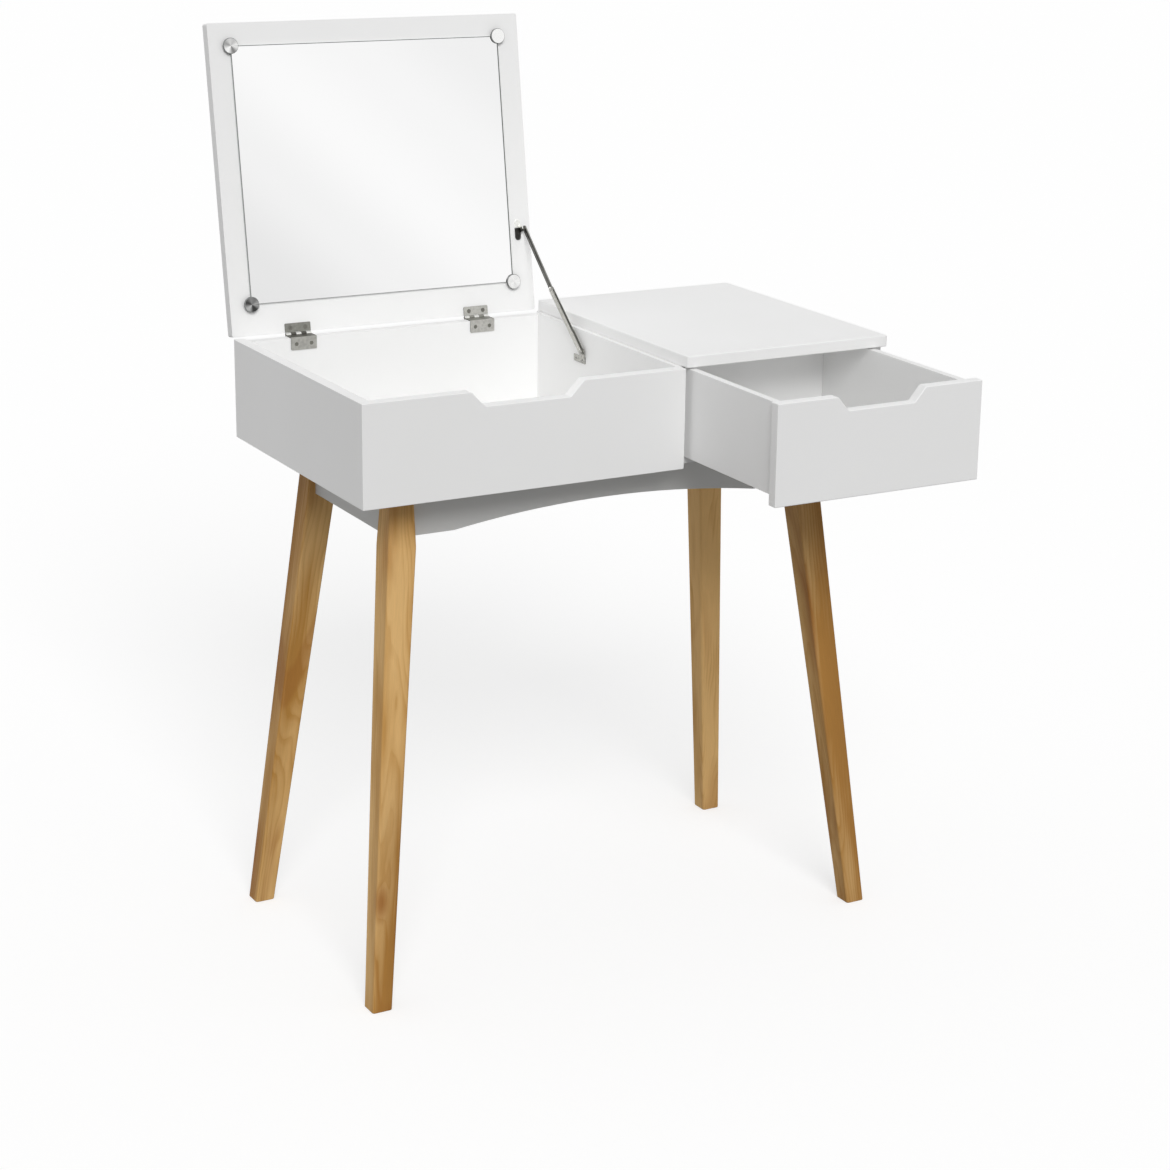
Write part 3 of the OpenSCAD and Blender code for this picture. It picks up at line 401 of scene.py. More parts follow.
    # Fibres lighten and darken the wood, and a dark plank tone, painted shade included, is dimmed
    # throughout
    fine = add(tree, "MapRange",
               {"From Min": 0.3, "From Max": 0.7, "To Min": 0.94, "To Max": 1.05},
               {"Value": fibre})
    dimmed = add(tree, "Math", {1: -dim_plank}, {0: plank_and_shade, 2: fine}, operation="MULTIPLY_ADD")
    tone = add(tree, "VectorMath", None,
               {0: warm.outputs[MIX_RESULT], "Scale": dimmed}, operation="SCALE")
    relief = add(tree, "Math", {1: 0.4}, {0: bands, 2: fibre}, operation="MULTIPLY_ADD")
    bump = add(tree, "Bump", {"Strength": 1.0, "Distance": 0.00004}, {"Height": relief})
    gloss = add(tree, "MapRange", {"To Min": 0.46, "To Max": 0.6}, {"Value": streak})
    shader = add(tree, "BsdfPrincipled", {"IOR": 1.45, "Specular IOR Level": 0.18},
                 {"Base Color": tone, "Roughness": gloss, "Normal": bump})
    add(tree, "OutputMaterial", None, {"Surface": shader})
    return material


def silvered_glass(settings):
    """Float glass silvered on its back: a clear cool reflection with hardly any haze, and faint
    smears about 70 mm across."""
    material, tree = blank("Silvered glass")
    place = add(tree, "TexCoord").outputs["Object"]
    smear = add(tree, "TexNoise", {"Scale": 14.0, "Detail": 3.0}, {"Vector": place})
    haze = add(tree, "MapRange", {"To Min": 0.005, "To Max": 0.03}, {"Value": smear})
    shader = add(tree, "BsdfPrincipled",
                 {"Base Color": rgba(settings.silver), "Metallic": 1.0}, {"Roughness": haze})
    add(tree, "OutputMaterial", None, {"Surface": shader})
    return material


def glass_edge(name, base):
    """The mirror's borders: its ground edge, a pale matt grey green, and the back paint seen where
    the silver ends, a dark line round the mirror's face, widened on the right into a painted
    shadow of the glass. Both have a grit, drawn coarser than it is so that it shows."""
    grit_size = 0.0004
    material, tree = blank(name)
    place = add(tree, "TexCoord").outputs["Object"]
    grit = add(tree, "TexNoise", {"Scale": 1 / grit_size, "Detail": 1.0}, {"Vector": place})
    tone = add(tree, "Mix", {MIX_A: rgba(base), MIX_B: rgba(base, 0.8)}, {0: grit},
               data_type="RGBA")
    shader = add(tree, "BsdfPrincipled", {"IOR": 1.52, "Roughness": 0.5},
                 {"Base Color": tone.outputs[MIX_RESULT]})
    add(tree, "OutputMaterial", None, {"Surface": shader})
    return material


def spun_chrome(settings):
    """Turned steel, chromed: tool marks in rings, drawn coarser than they are so that they show,
    and a painted reflection in its colour, bright and dark cones from the middle of the face as a
    turned face's gloss shows them. It reads the caps' turned attribute: the way round from 0 to 1,
    the radius in metres, and the level of the face's painted reflection."""
    mark_step, mark_depth, darkest = 0.0003, 0.000004, 0.06
    material, tree = blank("Turned chrome cap")
    turned = add(tree, "Attribute", attribute_name="turned").outputs["Vector"]
    parts = add(tree, "SeparateXYZ", None, {"Vector": turned})
    bright = parts.outputs["Z"]
    waves = []
    for cones, start in ((2, 0.4), (3, 2.2)):
        way = add(tree, "Math", {1: 2 * pi * cones, 2: start}, {0: parts.outputs["X"]},
                  operation="MULTIPLY_ADD")
        waves.append(add(tree, "Math", None, {0: way}, operation="SINE"))
    both = add(tree, "Math", None, {0: waves[0], 1: waves[1]}, operation="ADD")
    # The painted cones hardly show where a face's painted reflection is very bright or very dark
    dull = add(tree, "Math", {0: 1.0}, {1: bright}, operation="SUBTRACT")
    spread = add(tree, "Math", None, {0: bright, 1: dull}, operation="MULTIPLY")
    level = add(tree, "Math", None, {0: spread, 1: both, 2: bright},
                operation="MULTIPLY_ADD", use_clamp=True)
    # Painted reflection in the colour: from near black to chrome
    tone = add(tree, "Mix", {MIX_A: rgba(settings.chrome, darkest), MIX_B: rgba(settings.chrome)},
               {0: level}, data_type="RGBA")
    rings = add(tree, "Math", {1: 2 * pi / mark_step}, {0: parts.outputs["Y"]},
                operation="MULTIPLY")
    ring = add(tree, "Math", None, {0: rings}, operation="SINE")
    bump = add(tree, "Bump", {"Strength": 1.0, "Distance": mark_depth}, {"Height": ring})
    shader = add(tree, "BsdfPrincipled", {"Metallic": 1.0, "Roughness": 0.18},
                 {"Base Color": tone.outputs[MIX_RESULT], "Normal": bump})
    add(tree, "OutputMaterial", None, {"Surface": shader})
    return material


def metal(name, base, roughness, grit, spread=0.06, shade=0.82):
    """Plated steel: metallic, with a roughness that changes by spread and a tone that falls to
    shade over marks of the given size in metres. Each caller's comment says which plating, and
    what that gives the eye."""
    material, tree = blank(name)
    place = add(tree, "TexCoord").outputs["Object"]
    marks = add(tree, "TexNoise", {"Scale": 1 / grit, "Detail": 3.0}, {"Vector": place})
    clear = add(tree, "MapRange", {"From Min": 0.35, "From Max": 0.65}, {"Value": marks})
    tone = add(tree, "Mix", {MIX_A: rgba(base), MIX_B: rgba(base, shade)}, {0: clear},
               data_type="RGBA")
    gloss = add(tree, "MapRange",
                {"To Min": roughness - spread, "To Max": roughness + spread}, {"Value": marks})
    bump = add(tree, "Bump", {"Strength": 1.0, "Distance": 0.00001}, {"Height": marks})
    shader = add(tree, "BsdfPrincipled", {"Metallic": 1.0},
                 {"Base Color": tone.outputs[MIX_RESULT], "Roughness": gloss, "Normal": bump})
    add(tree, "OutputMaterial", None, {"Surface": shader})
    return material


def dark_below_bright_above(settings, height, blur):
    """Nickel plated steel drawn nearly black below the given height and bright above it, marked
    about 4 mm across: the change runs over the given blur, both in metres."""
    mark_size = 0.004
    material, tree = blank("Bracket, nearly black below and bright above")
    place = add(tree, "TexCoord").outputs["Object"]
    parts = add(tree, "SeparateXYZ", None, {"Vector": place})
    marks = add(tree, "TexNoise", {"Scale": 1 / mark_size, "Detail": 3.0}, {"Vector": place})
    ragged = add(tree, "Math", {1: blur}, {0: marks, 2: parts.outputs["Z"]},
                 operation="MULTIPLY_ADD")
    bright_above = add(tree, "MapRange", {"From Min": height, "From Max": height + blur},
               {"Value": ragged}, interpolation_type="SMOOTHSTEP")
    tone = add(tree, "Mix", {MIX_A: rgba(settings.dark, 0.35), MIX_B: rgba(settings.bright)},
               {0: bright_above}, data_type="RGBA")
    gloss = add(tree, "MapRange", {"To Min": 0.3, "To Max": 0.44}, {"Value": marks})
    shader = add(tree, "BsdfPrincipled", {"Metallic": 1.0},
                 {"Base Color": tone.outputs[MIX_RESULT], "Roughness": gloss})
    add(tree, "OutputMaterial", None, {"Surface": shader})
    return material


# ---- shapes

def points_of(mesh):
    """A mesh's points, one in each row."""
    points = np.empty(len(mesh.vertices) * 3)
    mesh.vertices.foreach_get("co", points)
    return points.reshape(-1, 3)


def leg_sections(node):
    """Foot, knee and top of a CAD leg: height, low x, high x, low y and high y of each."""
    touch = 1e-5
    points = points_of(frame["nodes"][node].data)
    inner = points[:, 0] * -np.sign(points[:, 0].mean())
    knee = points[inner > inner.max() - touch, 2].min()
    rows = []
    for height in (points[:, 2].min(), knee, points[:, 2].max()):
        level = points[np.abs(points[:, 2] - height) < touch]
        rows.append((height, level[:, 0].min(), level[:, 0].max(),
                     level[:, 1].min(), level[:, 1].max()))
    return np.array(rows)


def leg_grid(sections, corner, foot_edge):
    """Surface of a leg over (height, way round). At each height the section is a rectangle whose
    four sides run in straight lines between the foot, the knee and the top, averaged over 5 mm so
    that the knee is soft. Its corners are quarter circles. Over the lowest foot_edge it draws in
    along a quarter circle: foot_edge * (1 - sqrt(1 - (1 - z / foot_edge)^2))."""
    knee, top = sections[1, 0], sections[2, 0]
    soft, near_knee, corner_steps = 0.0025, 0.006, 7
    heights = np.concatenate([foot_edge * (1 - np.cos(np.linspace(0, pi / 2, 5))),
                              np.linspace(0.02, knee - 0.01, 26),
                              np.linspace(knee - near_knee, knee + near_knee, 7),
                              np.linspace(knee + 2 * near_knee, top, 6)])
    windows = heights + np.linspace(-soft, soft, 5)[:, None]
    sides = [np.interp(windows, sections[:, 0], sections[:, i]).mean(axis=0) for i in range(1, 5)]
    draw = np.clip(1 - heights / foot_edge, 0, 1)
    inset = foot_edge * (1 - np.sqrt(1 - draw ** 2))
    x0, x1, y0, y1 = sides[0] + inset, sides[1] - inset, sides[2] + inset, sides[3] - inset
    quarter = np.repeat(np.arange(4), corner_steps)
    angle = quarter * pi / 2 + np.tile(np.linspace(0, pi / 2, corner_steps), 4)
    sign_x = np.where((quarter == 0) | (quarter == 3), 1, -1)
    sign_y = np.where(quarter < 2, 1, -1)
    middle_x, middle_y = (x0 + x1) / 2, (y0 + y1) / 2
    x = middle_x[:, None] + sign_x * ((x1 - x0) / 2 - corner)[:, None] + corner * np.cos(angle)
    y = middle_y[:, None] + sign_y * ((y1 - y0) / 2 - corner)[:, None] + corner * np.sin(angle)
    z = np.repeat(heights[:, None], len(angle), axis=1)
    middle = np.stack([middle_x, middle_y, np.zeros_like(middle_x)], axis=-1)[:, None]
    return np.stack([x, y, z], axis=-1), middle


def leg_grain(grid, middle, turn, start):
    """Grain coordinates of a leg: its own cross-section turned about its middle line, and the
    height from start."""
    across = (grid - middle).reshape(-1, 3)
    return np.stack([across[:, 0] * cos(turn) - across[:, 1] * sin(turn),
                     across[:, 0] * sin(turn) + across[:, 1] * cos(turn),
                     across[:, 2] + start], axis=-1)


def plank_and_shade_tone(grid, middle, foot, top):
    """How dark and red a leg is, plank and painted shade together: darker where the case and the
    drawer shade the leg. foot and top hold the means of its left and its front face: the
    tone runs evenly round the leg from corner to corner, and it changes from foot to top between
    0.3 and 0.55 of the leg's height, along a smooth step 3 s^2 - 2 s^3."""
    low, high = 0.3, 0.55
    share = np.clip((grid[..., 2] / grid[..., 2].max() - low) / (high - low), 0, 1)
    step = share ** 2 * (3 - 2 * share)
    across = (grid - middle)[..., 0] - (grid - middle)[..., 1]
    front = 0.5 + across / across.max()
    left_tone, front_tone = (foot[i] + (top[i] - foot[i]) * step for i in (0, 1))
    return left_tone + (front_tone - left_tone) * front


def lid_axes():
    """Up the lid from its hinges, and out of its inner face, with the lid open."""
    hinge = next(joint for joint in frame["joints"] if joint["name"] == "lid_hinge")
    lean = radians(hinge["range_deg"][1])
    return Vector((0, -cos(lean), sin(lean))), Vector((0, -sin(lean), -cos(lean)))


def revolved(profile, centre, out, steps=64):
    """Surface over (profile, way round): each (radius, height) of the profile goes round an axis
    through centre that points out."""
    side = np.array([1.0, 0.0, 0.0])
    out = np.array(out)
    up = np.cross(out, side)
    angle = np.linspace(0, 2 * pi, steps, endpoint=False)
    ring = np.cos(angle)[:, None] * side + np.sin(angle)[:, None] * up
    radius, height = profile.T
    return np.array(centre) + radius[:, None, None] * ring + height[:, None, None] * out


def cap_profile(radius, hub, bottom, rim, bevel):
    """Side view of a mirror cap from its foot to its middle: a hub, a flat underside, a straight
    rim between two small rounds, a bevel at 45 degrees, and a face that sinks towards its middle
    by dish * (1 - (r / edge)^2)."""
    small, dish = 0.0002, 0.00015
    turn = np.linspace(-pi / 2, 0, 4)
    lower = np.stack([radius - small + small * np.cos(turn),
                      bottom + small + small * np.sin(turn)], axis=-1)
    turn = np.linspace(0, pi / 4, 4)
    upper = np.stack([radius - small + small * np.cos(turn),
                      bottom + rim - small + small * np.sin(turn)], axis=-1)
    edge = radius - bevel
    r = np.linspace(edge, small, 12)
    face = np.stack([r, bottom + rim + bevel - dish * (1 - (r / edge) ** 2)], axis=-1)
    return np.concatenate([[(hub, small), (hub, bottom)], lower, upper, face])


# ---- stage

def looked_along(tree):
    """1 on the rays that the camera or a mirror looks along, and 0 on those that only light."""
    path = add(tree, "LightPath")
    seen = path.outputs["Is Camera Ray"]
    for kind in ("Is Glossy Ray", "Is Transmission Ray"):
        seen = add(tree, "Math", None, {0: seen, 1: path.outputs[kind]}, operation="MAXIMUM")
    return seen


def flat_piece(name, points, material):
    """A flat piece of the stage with four corners."""
    mesh = bpy.data.meshes.new(name)
    mesh.from_pydata(points, [], [(0, 1, 2, 3)])
    mesh.materials.append(material)
    piece = bpy.data.objects.new(name, mesh)
    bpy.context.scene.collection.objects.link(piece)
    return piece


# ---- operators

class VANITY_OT_boards(Operator):
    """Lacquers the case, aprons, lid, top board and drawer, and rounds their edges"""
    bl_idname = "vanity.boards"
    bl_label = "Boards"

    def execute(self, context):
        s = context.scene.vanity_boards
        paint = [lacquer("Sprayed white lacquer", s.white, s.shade, roughness=0.36)]
        # Rolled inside the drawer: the same white, more matt
        inside = [lacquer("Rolled white lacquer", s.shade, s.white, roughness=0.45)]
        # The aprons under the case in a flat grey white: painted shade
        apron_painted_shade = [lacquer("Apron grey, painted shade", s.primer_shade, [0.94 * c for c in s.primer_shade],
                          roughness=0.5)]
        # The bottom boards a shade greyer than the walls: painted shade, in place of less light on
        # them
        thin = [lacquer("Bottom board white, painted shade", s.bottom, [0.97 * c for c in s.bottom],
                        roughness=0.45)]
        # Planes where boards meet
        front, rear = (1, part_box("front_panel")[1].y), (1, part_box("back_panel")[0].y)
        left, right = (0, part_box("left_side_panel")[1].x), (0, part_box("right_side_panel")[0].x)
        drawer = (1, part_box("drawer_left_side")[0].y)
        for nodes, radius, finish, slot, flush in (
                ("lid_panel top_board drawer_front", s.edge, paint, "white_paint", ()),
                ("front_panel", s.case_edge * 1.3, paint, "white_paint", (front,)),
                ("left_side_panel right_side_panel", s.case_edge, paint, "white_paint", (front,)),
                ("back_panel", s.case_edge, paint, "white_paint", (left, right)),
                ("divider_panel", s.case_edge, paint, "white_paint", (front, rear)),
                ("front_apron rear_apron left_apron right_apron", s.case_edge, apron_painted_shade,
                 "white_paint", ()),
                ("drawer_left_side drawer_right_side drawer_back", s.case_edge, inside,
                 "white_board", (drawer,)),
                ("bottom_board drawer_bottom", s.case_edge / 2, thin, "white_board", ())):
            for node in nodes.split():
                eased(node, radius, finish, flush)
        return {"FINISHED"}


class VANITY_OT_legs(Operator):
    """Makes the four splayed legs with soft knees and round edges, in varnished pine"""
    bl_idname = "vanity.legs"
    bl_label = "Legs"

    def execute(self, context):
        s = context.scene.vanity_legs
        pine = varnished_pine(s)
        # Each leg is cut from another plank: a turn of its section, a start along it, and how dark
        # and red its left and its front face are at the foot and at the top, plank and painted
        # shade
        # together: darker where the case and the drawer shade the legs
        cuts = {"front_left_leg": (0.0, 0.0, (0.0, 1.2), (-0.1, 0.0)),
                "front_right_leg": (1.4, 1.3, (0.7, 1.4), (0.4, 1.2)),
                "rear_left_leg": (-0.5, 2.55, (0.7, -0.15), (1.05, 0.1)),
                "rear_right_leg": (0.9, 3.9, (-0.5, -0.5), (-1.4, -1.4))}
        for node, (turn, start, foot, top) in cuts.items():
            grid, middle = leg_grid(leg_sections(node), s.corner, s.foot)
            mesh = closed_mesh(node, grid)
            grain = mesh.attributes.new("grain", "FLOAT_VECTOR", "POINT")
            grain.data.foreach_set("vector", leg_grain(grid, middle, turn, start).ravel())
            plank_and_shade = mesh.attributes.new("plank_and_shade", "FLOAT", "POINT")
            plank_and_shade.data.foreach_set("value", plank_and_shade_tone(grid, middle, foot, top).ravel())
            leg = put(node, mesh, [pine])
            leg.modifiers.new("Flat faces", "WEIGHTED_NORMAL").keep_sharp = True
        return {"FINISHED"}


class VANITY_OT_mirror(Operator):
    """Silvers the mirror on the lid, grinds its edge, and sets a chrome cap on each corner"""
    bl_idname = "vanity.mirror"
    bl_label = "Mirror"

    def execute(self, context):
        s = context.scene.vanity_mirror
        up, out = lid_axes()
        finishes = [silvered_glass(s), glass_edge("Ground glass edge", s.ground),
                    glass_edge("Back paint and painted shadow of the glass", s.paint)]
        glass = eased("mirror", s.edge, finishes)
        glass.modifiers["Round edges"].material = 1
        bm = bmesh.new()
        bm.from_mesh(glass.data)
        facing = 0.9
        front = [face for face in bm.faces if face.normal.dot(out) > facing]
        for face in bm.faces:
            face.material_index = int(abs(face.normal.dot(out)) < facing)
        border = bmesh.ops.inset_region(bm, faces=front, thickness=s.line, use_even_offset=True)
        for face in border["faces"]:
            face.material_index = 2
        middle = sum((v.co for v in bm.verts), Vector()) / len(bm.verts)
        # The dark line is widened on the right, a painted shadow of the glass, and narrowed at the
        # bottom
        for vertex in {v for face in front for v in face.verts}:
            if vertex.co.x > middle.x:
                vertex.co.x -= s.line_right_shadow - s.line
            if (vertex.co - middle).dot(up) < 0:
                vertex.co -= (s.line - s.line_low) * up
        bm.to_mesh(glass.data)
        bm.free()
        points = points_of(glass.data)
        left, right = points[:, 0].min(), points[:, 0].max()
        along, outward = points @ np.array(up), points @ np.array(out)
        thick = outward.max() - outward.min()
        low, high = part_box("mirror_caps")
        radius = (high.x - low.x - (right - left)) / 2
        # Turned edge drawn nearly black beside the face, a painted dark reflection,
        # so that each cap is drawn round
        rim_painted_reflection = metal("Cap rim, painted dark reflection", s.rim, roughness=0.3, grit=0.002)
        # Polished bevel drawn grey, a painted reflection: a ring between the dark rim and the
        # bright face
        ring = metal("Cap bevel, painted grey reflection", s.bevel, roughness=0.25, grit=0.002)
        hub, washer = 0.004, 0.0003
        profile = cap_profile(radius, hub, thick + washer, s.cap_rim, s.cap_bevel)
        bottom, top = along.min(), along.max()
        bm = bmesh.new()
        turnings = []
        # Each cap with the level of its face's painted reflection
        for x, height, painted_reflection_level in ((left, bottom, 0.2), (left, top, 0.64),
                                  (right, bottom, 0.95), (right, top, 1.0)):
            foot = Vector((x, 0, 0)) + up * height + out * outward.min()
            grid = revolved(profile, foot, out)
            mesh = closed_mesh("cap", grid)
            bm.from_mesh(mesh)
            bpy.data.meshes.remove(mesh)
            rows, columns = grid.shape[:2]
            angle = np.tile(np.arange(columns) / columns, rows)
            radii = np.repeat(profile[:, 0], columns)
            turnings.append(np.stack([angle, radii, np.full(len(radii), painted_reflection_level)], axis=-1))
        mesh = bpy.data.meshes.new("mirror_caps")
        bm.to_mesh(mesh)
        bm.free()
        turned = mesh.attributes.new("turned", "FLOAT_VECTOR", "POINT")
        turned.data.foreach_set("vector", np.concatenate(turnings).ravel())
        put("mirror_caps", mesh, [spun_chrome(s), ring, rim_painted_reflection])
        flat, sloped = 0.95, 0.6
        for face in mesh.polygons:
            outwards = face.normal.dot(out)
            face.material_index = 0 if outwards > flat else 1 if outwards > sloped else 2
        mesh.set_sharp_from_angle(angle=radians(30))
        # Zinc plate on the threaded studs, hardly seen under the caps: a plain bluish grey
        zinc = context.scene.vanity_metal.zinc
        finish_node("mirror_cap_studs", metal("Zinc plated stud", zinc, roughness=0.35, grit=0.002))
        return {"FINISHED"}


class VANITY_OT_hinges(Operator):
    """Finishes the two butt hinges with their pins and screws"""
    bl_idname = "vanity.hinges"
    bl_label = "Hinges"

    def execute(self, context):
        s = context.scene.vanity_metal
        # Satin nickel on stamped steel: a warm grey, half matt, with cloudy marks about 3 mm across
        nickel = metal("Satin nickel hinge", s.nickel, roughness=0.34, grit=0.003)
        # The same plate a shade lighter on the right fixed leaf: painted light
        clean = metal("Satin nickel hinge, painted light", s.clean, roughness=0.34, grit=0.003)
        # The same plate, darker: painted shade on the left moving leaf, the right fixed leaf's
        # flange and the right moving leaf's knuckles
        nickel_painted_shade = metal("Satin nickel hinge, painted shade", s.nickel_painted_shade, roughness=0.38, grit=0.003)
        # Nickel on small turned screws: a darker grey, with marks about 1 mm across
        screw = metal("Nickel plated screw", s.screw, roughness=0.4, grit=0.001)
        # A darker line between the leaves: painted shade on the flange before the left hinge's
        # knuckles
        flange_painted_shade = metal("Hinge flange, painted shade", s.flange_painted_shade, roughness=0.42, grit=0.002)
        # Sheared ends drawn nearly black, a painted shade: dark lines beside the leaves and between
        # the knuckles
        cut = metal("Sheared hinge edge, painted shade", s.cut, roughness=0.5, grit=0.001)
        # Painted highlight on the knuckles: light beads between the dark gaps
        bright = metal("Hinge knuckle, painted highlight", s.bright, roughness=0.3, grit=0.002)
        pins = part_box("hinge_pins")
        axis = (pins[0] + pins[1]) / 2
        square = 0.9

        def place(normal, middle):
            """0 on a leaf, 1 on its ends, 2 on a knuckle and 3 on the flange before them."""
            if abs(normal.x) > square:
                return 1
            if hypot(middle.y - axis.y, middle.z - axis.z) < s.knuckle:
                return 2
            return 3 * (abs(normal.z) > square)

        for node, finish, knuckle, flange in (
                ("left_hinge_fixed_leaf", nickel, bright, flange_painted_shade),
                ("right_hinge_fixed_leaf", clean, bright, nickel_painted_shade),
                ("left_hinge_moving_leaf", nickel_painted_shade, cut, cut),
                ("right_hinge_moving_leaf", nickel, nickel_painted_shade, cut)):
            piece = stamped(node, s.edge, [finish, cut, knuckle, flange], place)
            if knuckle == bright:
                # The bend below the knuckles takes the painted highlight as well
                piece.modifiers["Round edges"].material = 2
        for node in ("hinge_pins", "hinge_case_screws"):
            finish_node(node, screw)
        # The same on the moving leaves, a little darker
        lid_screw = metal("Nickel plated lid screw", s.lid_screw, roughness=0.4, grit=0.001)
        finish_node("hinge_lid_screws", lid_screw)
        return {"FINISHED"}


class VANITY_OT_stay(Operator):
    """Finishes the folding lid stay with its brackets, rivets and screws"""
    bl_idname = "vanity.stay"
    bl_label = "Lid stay"

    def execute(self, context):
        s = context.scene.vanity_metal
        # Blackened steel: nearly black with a dull sheen, rubbed lighter over long stretches
        black = metal("Blackened stay bar", s.dark, roughness=0.36, grit=0.04, spread=0.08,
                      shade=0.25)
        # The same steel, lighter on the bar's narrow edges: a mid grey line beside the black face
        rubbed = metal("Stay bar edge, lighter grey", s.rubbed, roughness=0.4, grit=0.006)
        # Satin nickel on folded steel: a warm light grey, half matt
        nickel = metal("Satin nickel stay", s.nickel, roughness=0.32, grit=0.003)
        # The same plate, darker on the bracket's foot: painted shade
        nickel_painted_shade = metal("Satin nickel bracket, painted shade", s.nickel, roughness=0.38, grit=0.002,
                       shade=0.45)
        # Sheared edges drawn dark, a painted shade: fine dark lines along the pale flanges
        cut = metal("Sheared stay edge, painted shade", s.cut, roughness=0.5, grit=0.001)
        # Inside of the folded channel: unpolished, a darker line between its two rims
        inside = metal("Inside of the stay channel", s.inside, roughness=0.5, grit=0.002)
        # Bright rivets and screws: the lightest points of the stay
        bright = metal("Bright rivet", s.zinc, roughness=0.22, grit=0.001)
        arm = stamped("stay_upper_arm", s.edge, [black, rubbed],
                      lambda normal, middle: abs(normal.x) < 0.3)
        # Mirror and caps don't show the black arm, as in the photograph
        arm.visible_glossy = False
        low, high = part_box("stay_lower_arm")
        thick = 0.0008

        def within(normal, middle):
            """2 between the channel's flanges, except on the back of its web, and 0 elsewhere."""
            back = normal.y > 0.5 and normal.z < -0.5
            return 2 * (low.x + thick < middle.x < high.x - thick and not back)

        stamped("stay_lower_arm", s.edge, [nickel, cut, inside], within)
        # The lid's bracket and screws: nearly black below, bright nickel above
        low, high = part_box("stay_lid_bracket")
        bright_from, blur = 0.6, 0.002
        bright_above = dark_below_bright_above(s, low.z + bright_from * (high.z - low.z), blur)
        eased("stay_lid_bracket", s.edge, [bright_above])
        finish_node("stay_lid_screws", bright_above)
        stamped("stay_case_bracket", s.edge, [nickel_painted_shade, cut],
                lambda normal, middle: 0)
        for node in ("stay_elbow_rivet", "stay_case_rivet", "stay_case_screws"):
            finish_node(node, bright)
        finish_node("stay_lid_rivet", cut)
        return {"FINISHED"}


class VANITY_OT_fastenings(Operator):
    """Finishes the corner plates behind the legs with their bolts, nuts and screws"""
    bl_idname = "vanity.fastenings"
    bl_label = "Leg fastenings"

    def execute(self, context):
        s = context.scene.vanity_metal
        # Bright zinc plate on pressed and turned steel: a plain bluish grey
        zinc = metal("Zinc plated sheet", s.zinc, roughness=0.4, grit=0.006)
        eased("leg_corner_plates", s.edge, [zinc])
        for node in ("corner_plate_screws", "leg_bolts", "leg_nuts"):
            finish_node(node, zinc)
        return {"FINISHED"}


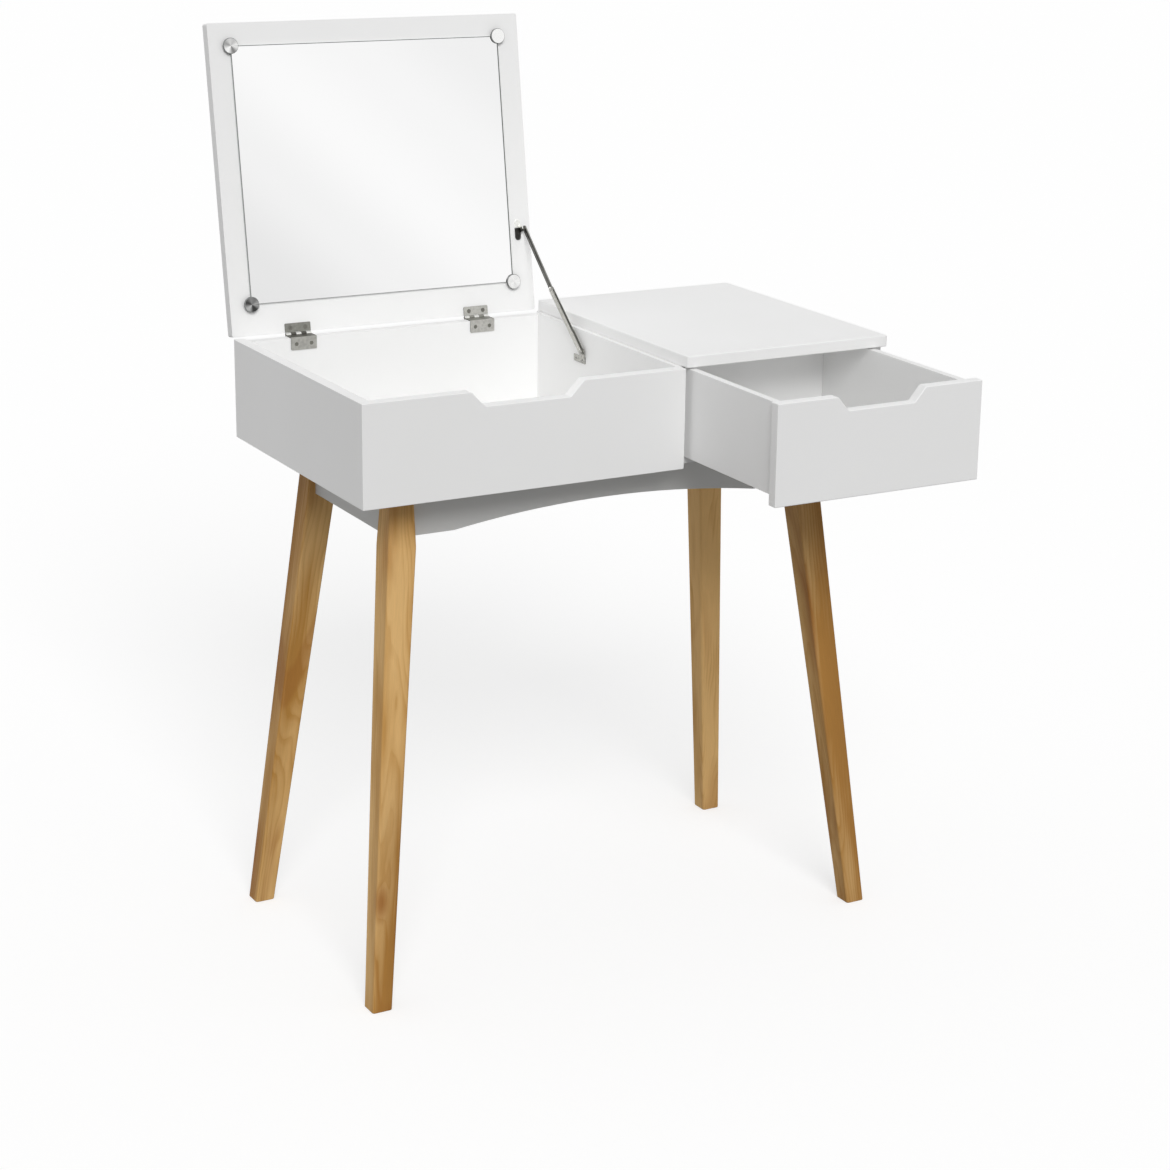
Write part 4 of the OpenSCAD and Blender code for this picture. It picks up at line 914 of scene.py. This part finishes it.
class VANITY_OT_studio(Operator):
    """Sets up the pale floor, the even light, the large lamp in front and the camera"""
    bl_idname = "vanity.studio"
    bl_label = "Studio"

    def execute(self, context):
        scene = context.scene
        s = scene.vanity_studio
        scene.view_settings.view_transform = "Standard"

        # Floor: white where it is seen or mirrored, with the table's shadow, and a mid grey for
        # the light that it throws back up
        shadowed, lift, bounce = 0.5, 0.59, 0.24
        material, tree = blank("White studio floor")
        paper = add(tree, "BsdfDiffuse", {"Color": rgba(WHITE, shadowed)})
        glow = add(tree, "Emission", {"Color": rgba(WHITE), "Strength": lift})
        lit = add(tree, "AddShader", None, {0: paper, 1: glow})
        grey = add(tree, "BsdfDiffuse", {"Color": rgba(WHITE, bounce)})
        mixed = add(tree, "MixShader", None, {0: looked_along(tree), 1: grey, 2: lit})
        add(tree, "OutputMaterial", None, {"Surface": mixed})
        flat_piece("StudioFloor", [(-40, -40, 0), (40, -40, 0), (40, 40, 0), (-40, 40, 0)],
                   material)

        # Even light all round, seen as white behind the table and in its mirror
        world = bpy.data.worlds.new("White studio")
        scene.world = world
        world.use_nodes = True
        tree = world.node_tree
        tree.nodes.clear()
        level = add(tree, "MapRange", {"To Min": s.sky, "To Max": 1.0},
                    {"Value": looked_along(tree)})
        sky = add(tree, "Background", {"Color": rgba(WHITE)}, {"Strength": level})
        add(tree, "OutputWorld", None, {"Surface": sky})

        # A tall reflector card stands in front on the right, outside the view. Only mirror and
        # metal see it: its level falls off slantwise, a soft diagonal band in the mirror
        slant, band_start, band_end = 1.286, 3.6, 6.0
        material, tree = blank("Reflector card")
        place = add(tree, "TexCoord").outputs["Object"]
        parts = add(tree, "SeparateXYZ", None, {"Vector": place})
        across = add(tree, "Math", {1: slant},
                     {0: parts.outputs["X"], 2: parts.outputs["Z"]}, operation="MULTIPLY_ADD")
        band = add(tree, "MapRange", {"From Min": band_start, "From Max": band_end},
                   {"Value": across})
        fall = add(tree, "ValToRGB", None, {"Fac": band})
        ramp(fall, ((0.0, 0.79), (0.15, 0.83), (0.33, 0.93), (0.5, 1.0), (0.66, 0.965),
                    (0.83, 0.91), (1.0, 0.88)))
        glow = add(tree, "Emission", None, {"Color": fall})
        add(tree, "OutputMaterial", None, {"Surface": glow})
        card = flat_piece("ReflectorCard", [(0.6, -6.2, 0.02), (5.0, -3.7, 0.02),
                                            (5.0, -3.7, 3.0), (0.6, -6.2, 3.0)], material)
        card.visible_camera = card.visible_diffuse = card.visible_shadow = False
        card.visible_transmission = False

        lamp = bpy.data.objects.new("FrontLamp", bpy.data.lights.new("FrontLamp", "SUN"))
        lamp.data.energy = s.lamp
        lamp.data.angle = s.lamp_angle
        towards_lamp = Vector((-0.25, -0.76, 0.6))
        lamp.rotation_euler = towards_lamp.to_track_quat("Z", "Y").to_euler()
        scene.collection.objects.link(lamp)

        # The photograph's place and aim: turned 30.8 degrees from the front, 17 degrees down
        eye = (-1.61556, -2.907524, 1.51343)
        yaw, pitch, roll = 0.538, -0.296, 0.021
        ahead = Vector((sin(yaw) * cos(pitch), cos(yaw) * cos(pitch), sin(pitch)))
        right = Vector((cos(yaw), -sin(yaw), 0))
        above = right.cross(ahead)
        axes = Matrix((cos(roll) * right + sin(roll) * above,
                       cos(roll) * above - sin(roll) * right, -ahead)).transposed()
        camera = bpy.data.objects.new("Camera", bpy.data.cameras.new("Camera"))
        camera.matrix_world = Matrix.Translation(eye) @ axes.to_4x4()
        camera.data.lens = s.lens
        camera.data.sensor_width = 36
        camera.data.shift_x = -0.0655
        camera.data.shift_y = -0.0153
        camera.data.clip_end = 200
        scene.collection.objects.link(camera)
        scene.camera = camera
        return {"FINISHED"}


class VANITY_PT_build(Panel):
    bl_idname = "VANITY_PT_build"
    bl_label = "Vanity table"
    bl_space_type = "VIEW_3D"
    bl_region_type = "UI"
    bl_category = "Vanity"

    def draw(self, context):
        for operator in OPERATORS:
            self.layout.operator(operator.bl_idname)
        for group, settings in SETTINGS.items():
            box = self.layout.box()
            box.label(text=group.replace("_", " ").capitalize())
            for key in settings.__annotations__:
                box.prop(getattr(context.scene, group), key)


OPERATORS = (VANITY_OT_studio, VANITY_OT_boards, VANITY_OT_legs, VANITY_OT_mirror,
             VANITY_OT_hinges, VANITY_OT_stay, VANITY_OT_fastenings)
SETTINGS = {"vanity_boards": VanityBoardSettings, "vanity_legs": VanityLegSettings,
            "vanity_mirror": VanityMirrorSettings, "vanity_metal": VanityMetalSettings,
            "vanity_studio": VanityStudioSettings}


def register():
    for group, settings in SETTINGS.items():
        bpy.utils.register_class(settings)
        setattr(bpy.types.Scene, group, PointerProperty(type=settings))
    for cls in (*OPERATORS, VANITY_PT_build):
        bpy.utils.register_class(cls)


def unregister():
    for cls in (VANITY_PT_build, *reversed(OPERATORS)):
        bpy.utils.unregister_class(cls)
    for group, settings in reversed(SETTINGS.items()):
        delattr(bpy.types.Scene, group)
        bpy.utils.unregister_class(settings)


def main():
    register()
    bpy.ops.vanity.studio()
    bpy.ops.vanity.boards()
    bpy.ops.vanity.legs()
    bpy.ops.vanity.mirror()
    bpy.ops.vanity.hinges()
    bpy.ops.vanity.stay()
    bpy.ops.vanity.fastenings()


if __name__ == "__main__":
    main()
